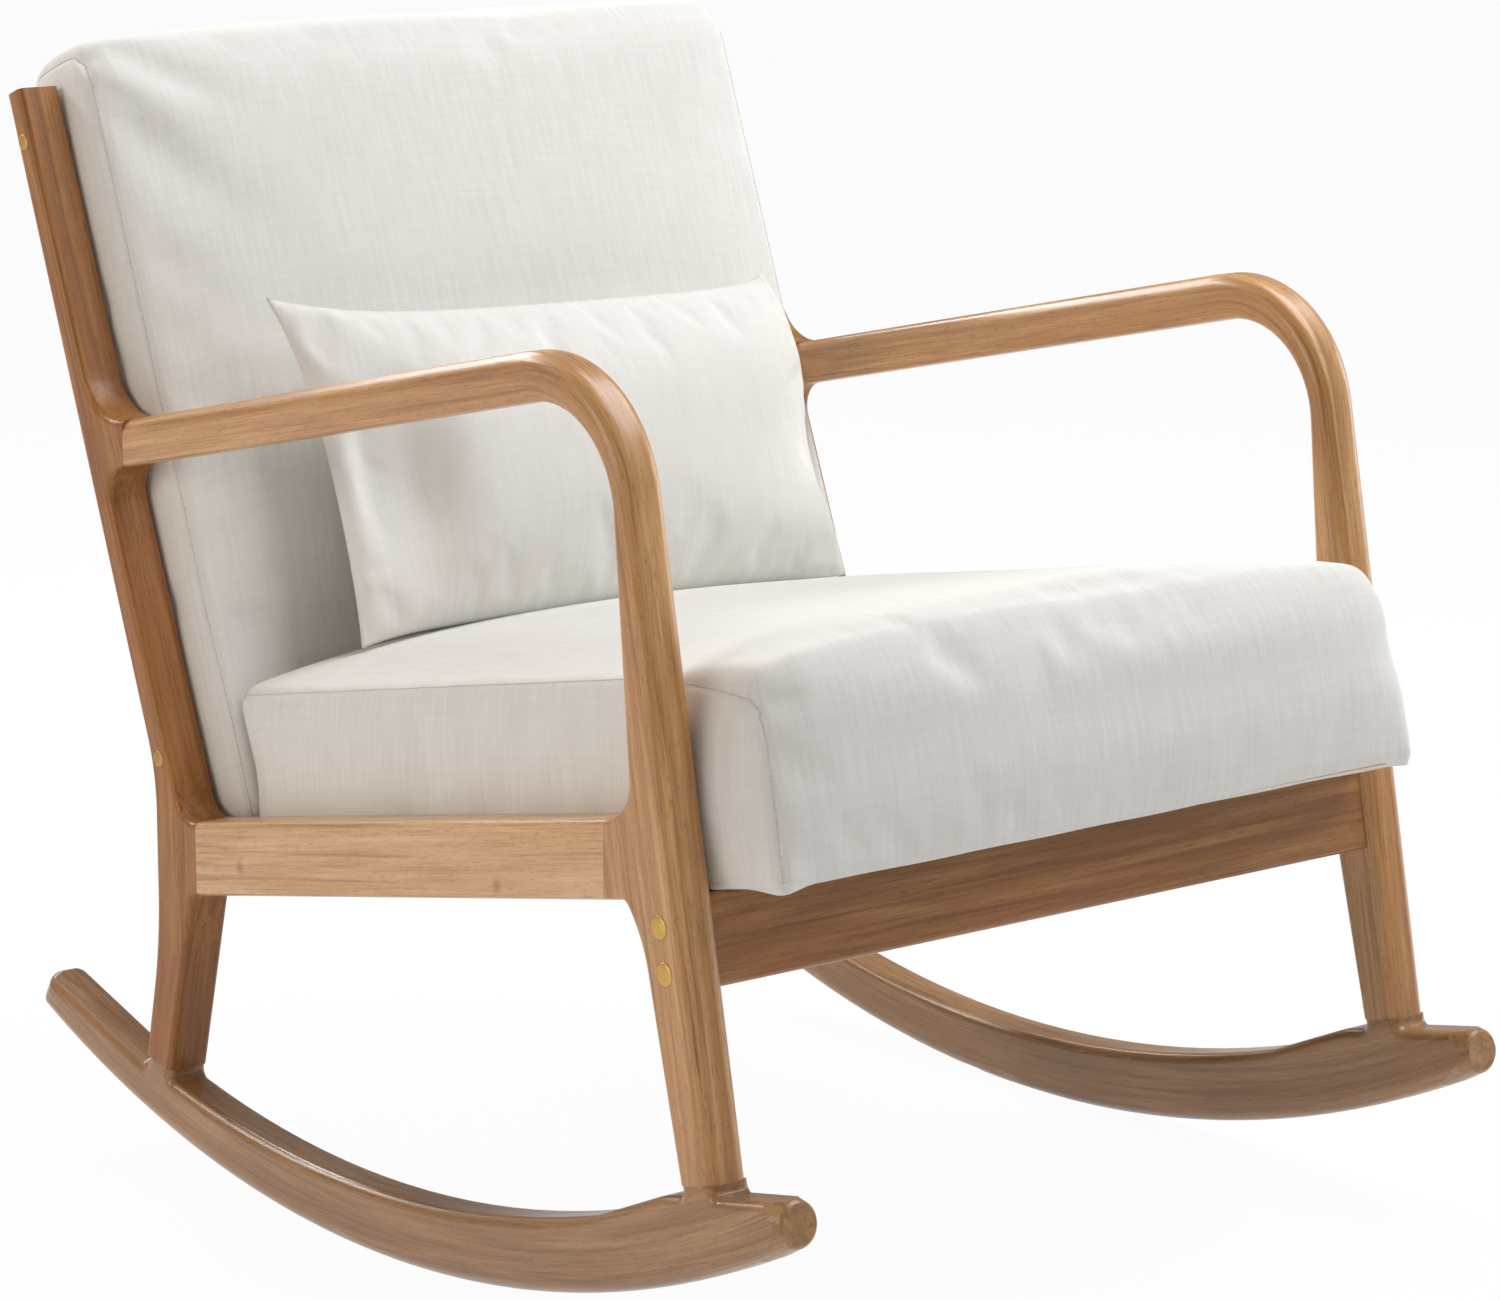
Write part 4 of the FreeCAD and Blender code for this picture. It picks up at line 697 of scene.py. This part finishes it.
def on_surface(piece, path, home, lift):
    """The path moved onto a finished piece and lifted off it a little."""
    mesh = piece.data
    skin = BVHTree.FromPolygons([vertex.co for vertex in mesh.vertices], [face.vertices[:] for face in mesh.polygons])
    moved = []
    for point in path:
        place, normal, _, _ = skin.find_nearest(home @ point)
        moved.append(place + normal * lift)
    return moved


bead_tree = bead_row()
band_tree = flat_band()
button_tree = domed_buttons()

seam_paths = [on_surface(seat_cushion, path, SEAT, 0.1 * MM) for path in seat_seams]
seam_paths += [on_surface(back_cushion, path, BACK, 0.1 * MM) for path in back_seams]
seam_thread = grown("cushion_seam_thread", seam_paths, bead_tree, Spacing=3.4 * MM, Length=3.2 * MM,
                    Width=1.1 * MM, Material=thread)


def hem_path():
    """Round the foot of the seat cover, from one rear corner along the front to the other."""
    side = [(0, along) for along in range(SEAT_CELLS[1], 0, -1)]
    front = [(across, 0) for across in range(SEAT_CELLS[0])]
    far = [(SEAT_CELLS[0], along) for along in range(SEAT_CELLS[1] + 1)]
    path = []
    for at, (across, along) in enumerate(side + front + far):
        point = seat_point((across, along, 0))
        point.z += (3.6 + 0.4 * math.sin(at * 0.31) * math.sin(at * 0.13 + 1)) * MM
        path.append(SEAT @ point)
    return path


seat_hem = grown("seat_hem", [fine_path(hem_path(), 4 * MM)], band_tree, Height=7.5 * MM, Thickness=2.6 * MM,
                 Material=linen_seat)

LEG_CAP_SPOTS = ((-332.6, 295.3), (-338.1, 265.8))
POST_CAP_SPOTS = ((401.5, 737), (241.6, 307))


def cap_points(spots):
    return [[Vector((side * FACE_X, y * MM, z * MM))] for side in (-1, 1) for y, z in spots]


leg_caps = grown("leg_cap_domes", cap_points(LEG_CAP_SPOTS), button_tree, Diameter=16 * MM, Rise=1.6 * MM,
                 Material=brass)
post_caps = grown("post_cap_domes", cap_points(POST_CAP_SPOTS), button_tree, Diameter=12 * MM, Rise=1.5 * MM,
                  Material=aged_brass)

# Dust cloth under the seat: stretched over the frame's underside and stapled round its edge

DUST_CELLS = (56, 54)
DUST_LOW = Vector((-280, -396)) * MM
DUST_HIGH = Vector((280, 152)) * MM
DUST_EDGE = 8 * MM


def dust_point(across, along):
    """A point of the cloth, which hangs a little between its staples and the webbing above it."""
    a = across / DUST_CELLS[0]
    b = along / DUST_CELLS[1]
    x = DUST_LOW.x + (DUST_HIGH.x - DUST_LOW.x) * a
    v = DUST_LOW.y + (DUST_HIGH.y - DUST_LOW.y) * b
    hang = smooth(a, 0.03, 0.4) * smooth(1 - a, 0.03, 0.4) * smooth(b, 0.17, 0.5) * smooth(1 - b, 0.03, 0.4)
    near_edge = min(a, 1 - a, b, 1 - b)
    pucker = math.sin(2 * math.pi * (x + v) / (40 * MM)) * math.exp(-near_edge / 0.03)
    return Vector((x, v, 0.75 * MM - 4.5 * MM * hang + 0.15 * MM * pucker))


def dust_sheet():
    across, along = DUST_CELLS
    points = [dust_point(one, two) for one in range(across + 1) for two in range(along + 1)]
    row = along + 1
    faces = [(one * row + two, one * row + two + 1, (one + 1) * row + two + 1, (one + 1) * row + two)
             for one in range(across) for two in range(along)]
    piece = piece_from("seat_dust_cloth", points, faces, dust_cloth)
    hem = piece.modifiers.new("Thickness", "SOLIDIFY")
    hem.thickness = 0.5 * MM
    placed(piece, SEAT)
    return piece


dust_cover = dust_sheet()


def staple_rows():
    """Paths round the dust cloth, a little inside its edge."""
    low = DUST_LOW + Vector((DUST_EDGE, DUST_EDGE))
    high = DUST_HIGH - Vector((DUST_EDGE, DUST_EDGE))
    ring = [(low.x, low.y), (high.x, low.y), (high.x, high.y), (low.x, high.y), (low.x, low.y)]
    return [[SEAT @ Vector((*start, 0.1 * MM)), SEAT @ Vector((*end, 0.1 * MM))] for start, end in zip(ring, ring[1:])]


staples = grown("dust_cloth_staples", staple_rows(), bead_tree, Spacing=40 * MM, Length=11 * MM, Width=1.3 * MM,
                Material=zinc_steel)


# Floor, light and camera

floor_mesh = bpy.data.meshes.new("floor")
floor_mesh.from_pydata([(-30, -30, 0), (30, -30, 0), (30, 30, 0), (-30, 30, 0)], [], [(0, 1, 2, 3)])
floor = bpy.data.objects.new("floor", floor_mesh)
scene.collection.objects.link(floor)
floor_paint, floor_tree, floor_surface = blank_material("matt_white_floor")
floor_surface.inputs["Base Color"].default_value = tint("#f4f4f4")
floor_surface.inputs["Roughness"].default_value = 0.9
floor_surface.inputs["Specular IOR Level"].default_value = 0.1
path = add(floor_tree, "ShaderNodeLightPath")
seen = add(floor_tree, "ShaderNodeMath", {0: path.outputs["Is Camera Ray"], 1: path.outputs["Is Glossy Ray"]},
           operation="MAXIMUM").outputs[0]
share_seen = add(floor_tree, "ShaderNodeMath", {0: seen, 1: 0.955}, operation="MULTIPLY").outputs[0]
glow = add(floor_tree, "ShaderNodeEmission", {"Color": (1, 1, 1, 1), "Strength": 1.0}).outputs[0]
lit = add(floor_tree, "ShaderNodeMixShader", {0: share_seen, 1: floor_surface.outputs[0], 2: glow}).outputs[0]
floor_tree.links.new(lit, floor_tree.nodes["Material Output"].inputs["Surface"])
floor_mesh.materials.append(floor_paint)

world = bpy.data.worlds.new("studio")
scene.world = world
world.use_nodes = True
backdrop = world.node_tree.nodes["Background"]
backdrop.inputs["Color"].default_value = tint("#fffaf5")
backdrop.inputs["Strength"].default_value = 0.24


def softbox(name, place, target, size, power, colour="#ffffff"):
    lamp = bpy.data.lights.new(name, "AREA")
    lamp.shape = "RECTANGLE"
    lamp.size, lamp.size_y = size
    lamp.energy = power
    lamp.color = tint(colour)[:3]
    holder = bpy.data.objects.new(name, lamp)
    holder.location = place
    holder.rotation_euler = (Vector(target) - Vector(place)).to_track_quat("-Z", "Y").to_euler()
    scene.collection.objects.link(holder)


softbox("right_overhead_softbox", (1.2, -0.4, 2.9), (0, 0, 0.4), (2.0, 2.0), 67, "#fcfdff")
softbox("right_softbox", (3.2, -0.9, 1.1), (0, 0, 0.5), (1.4, 1.4), 24, "#fafcff")
softbox("high_front_softbox", (1.2, -3.0, 3.0), (0, 0, 0.4), (1.4, 1.4), 21, "#fafcff")
softbox("left_softbox", (-3.1, 0.3, 1.3), (0, 0, 0.4), (1.6, 1.2), 25, "#fff3e6")
softbox("rear_strip", (-0.4, 2.7, 2.2), (0, 0, 0.6), (3.0, 0.5), 58)

camera_data = bpy.data.cameras.new("camera")
camera_data.sensor_width = 36
camera_data.lens = 123.96
camera = bpy.data.objects.new("camera", camera_data)
camera.location = (-2.312, -2.813 + TOUCH_Y, 1.109)
camera.rotation_euler = (math.radians(90 - 11.29), 0, math.radians(-39.65))
scene.collection.objects.link(camera)
scene.camera = camera
scene.view_settings.view_transform = "Standard"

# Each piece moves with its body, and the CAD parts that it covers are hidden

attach(seat_cushion, "chair")
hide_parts("seat_cover", "seat_foam")
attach(back_cushion, "chair")
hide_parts("back_cover", "back_foam", "back_rear_foam", "back_panel")
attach(pillow, "pillow")
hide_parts("pillow_cover", "pillow_filling")
for piece in (seam_thread, seat_hem, leg_caps, post_caps, dust_cover, staples):
    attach(piece, "chair")
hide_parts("leg_caps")
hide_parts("post_caps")
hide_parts("seat_dust_cover")
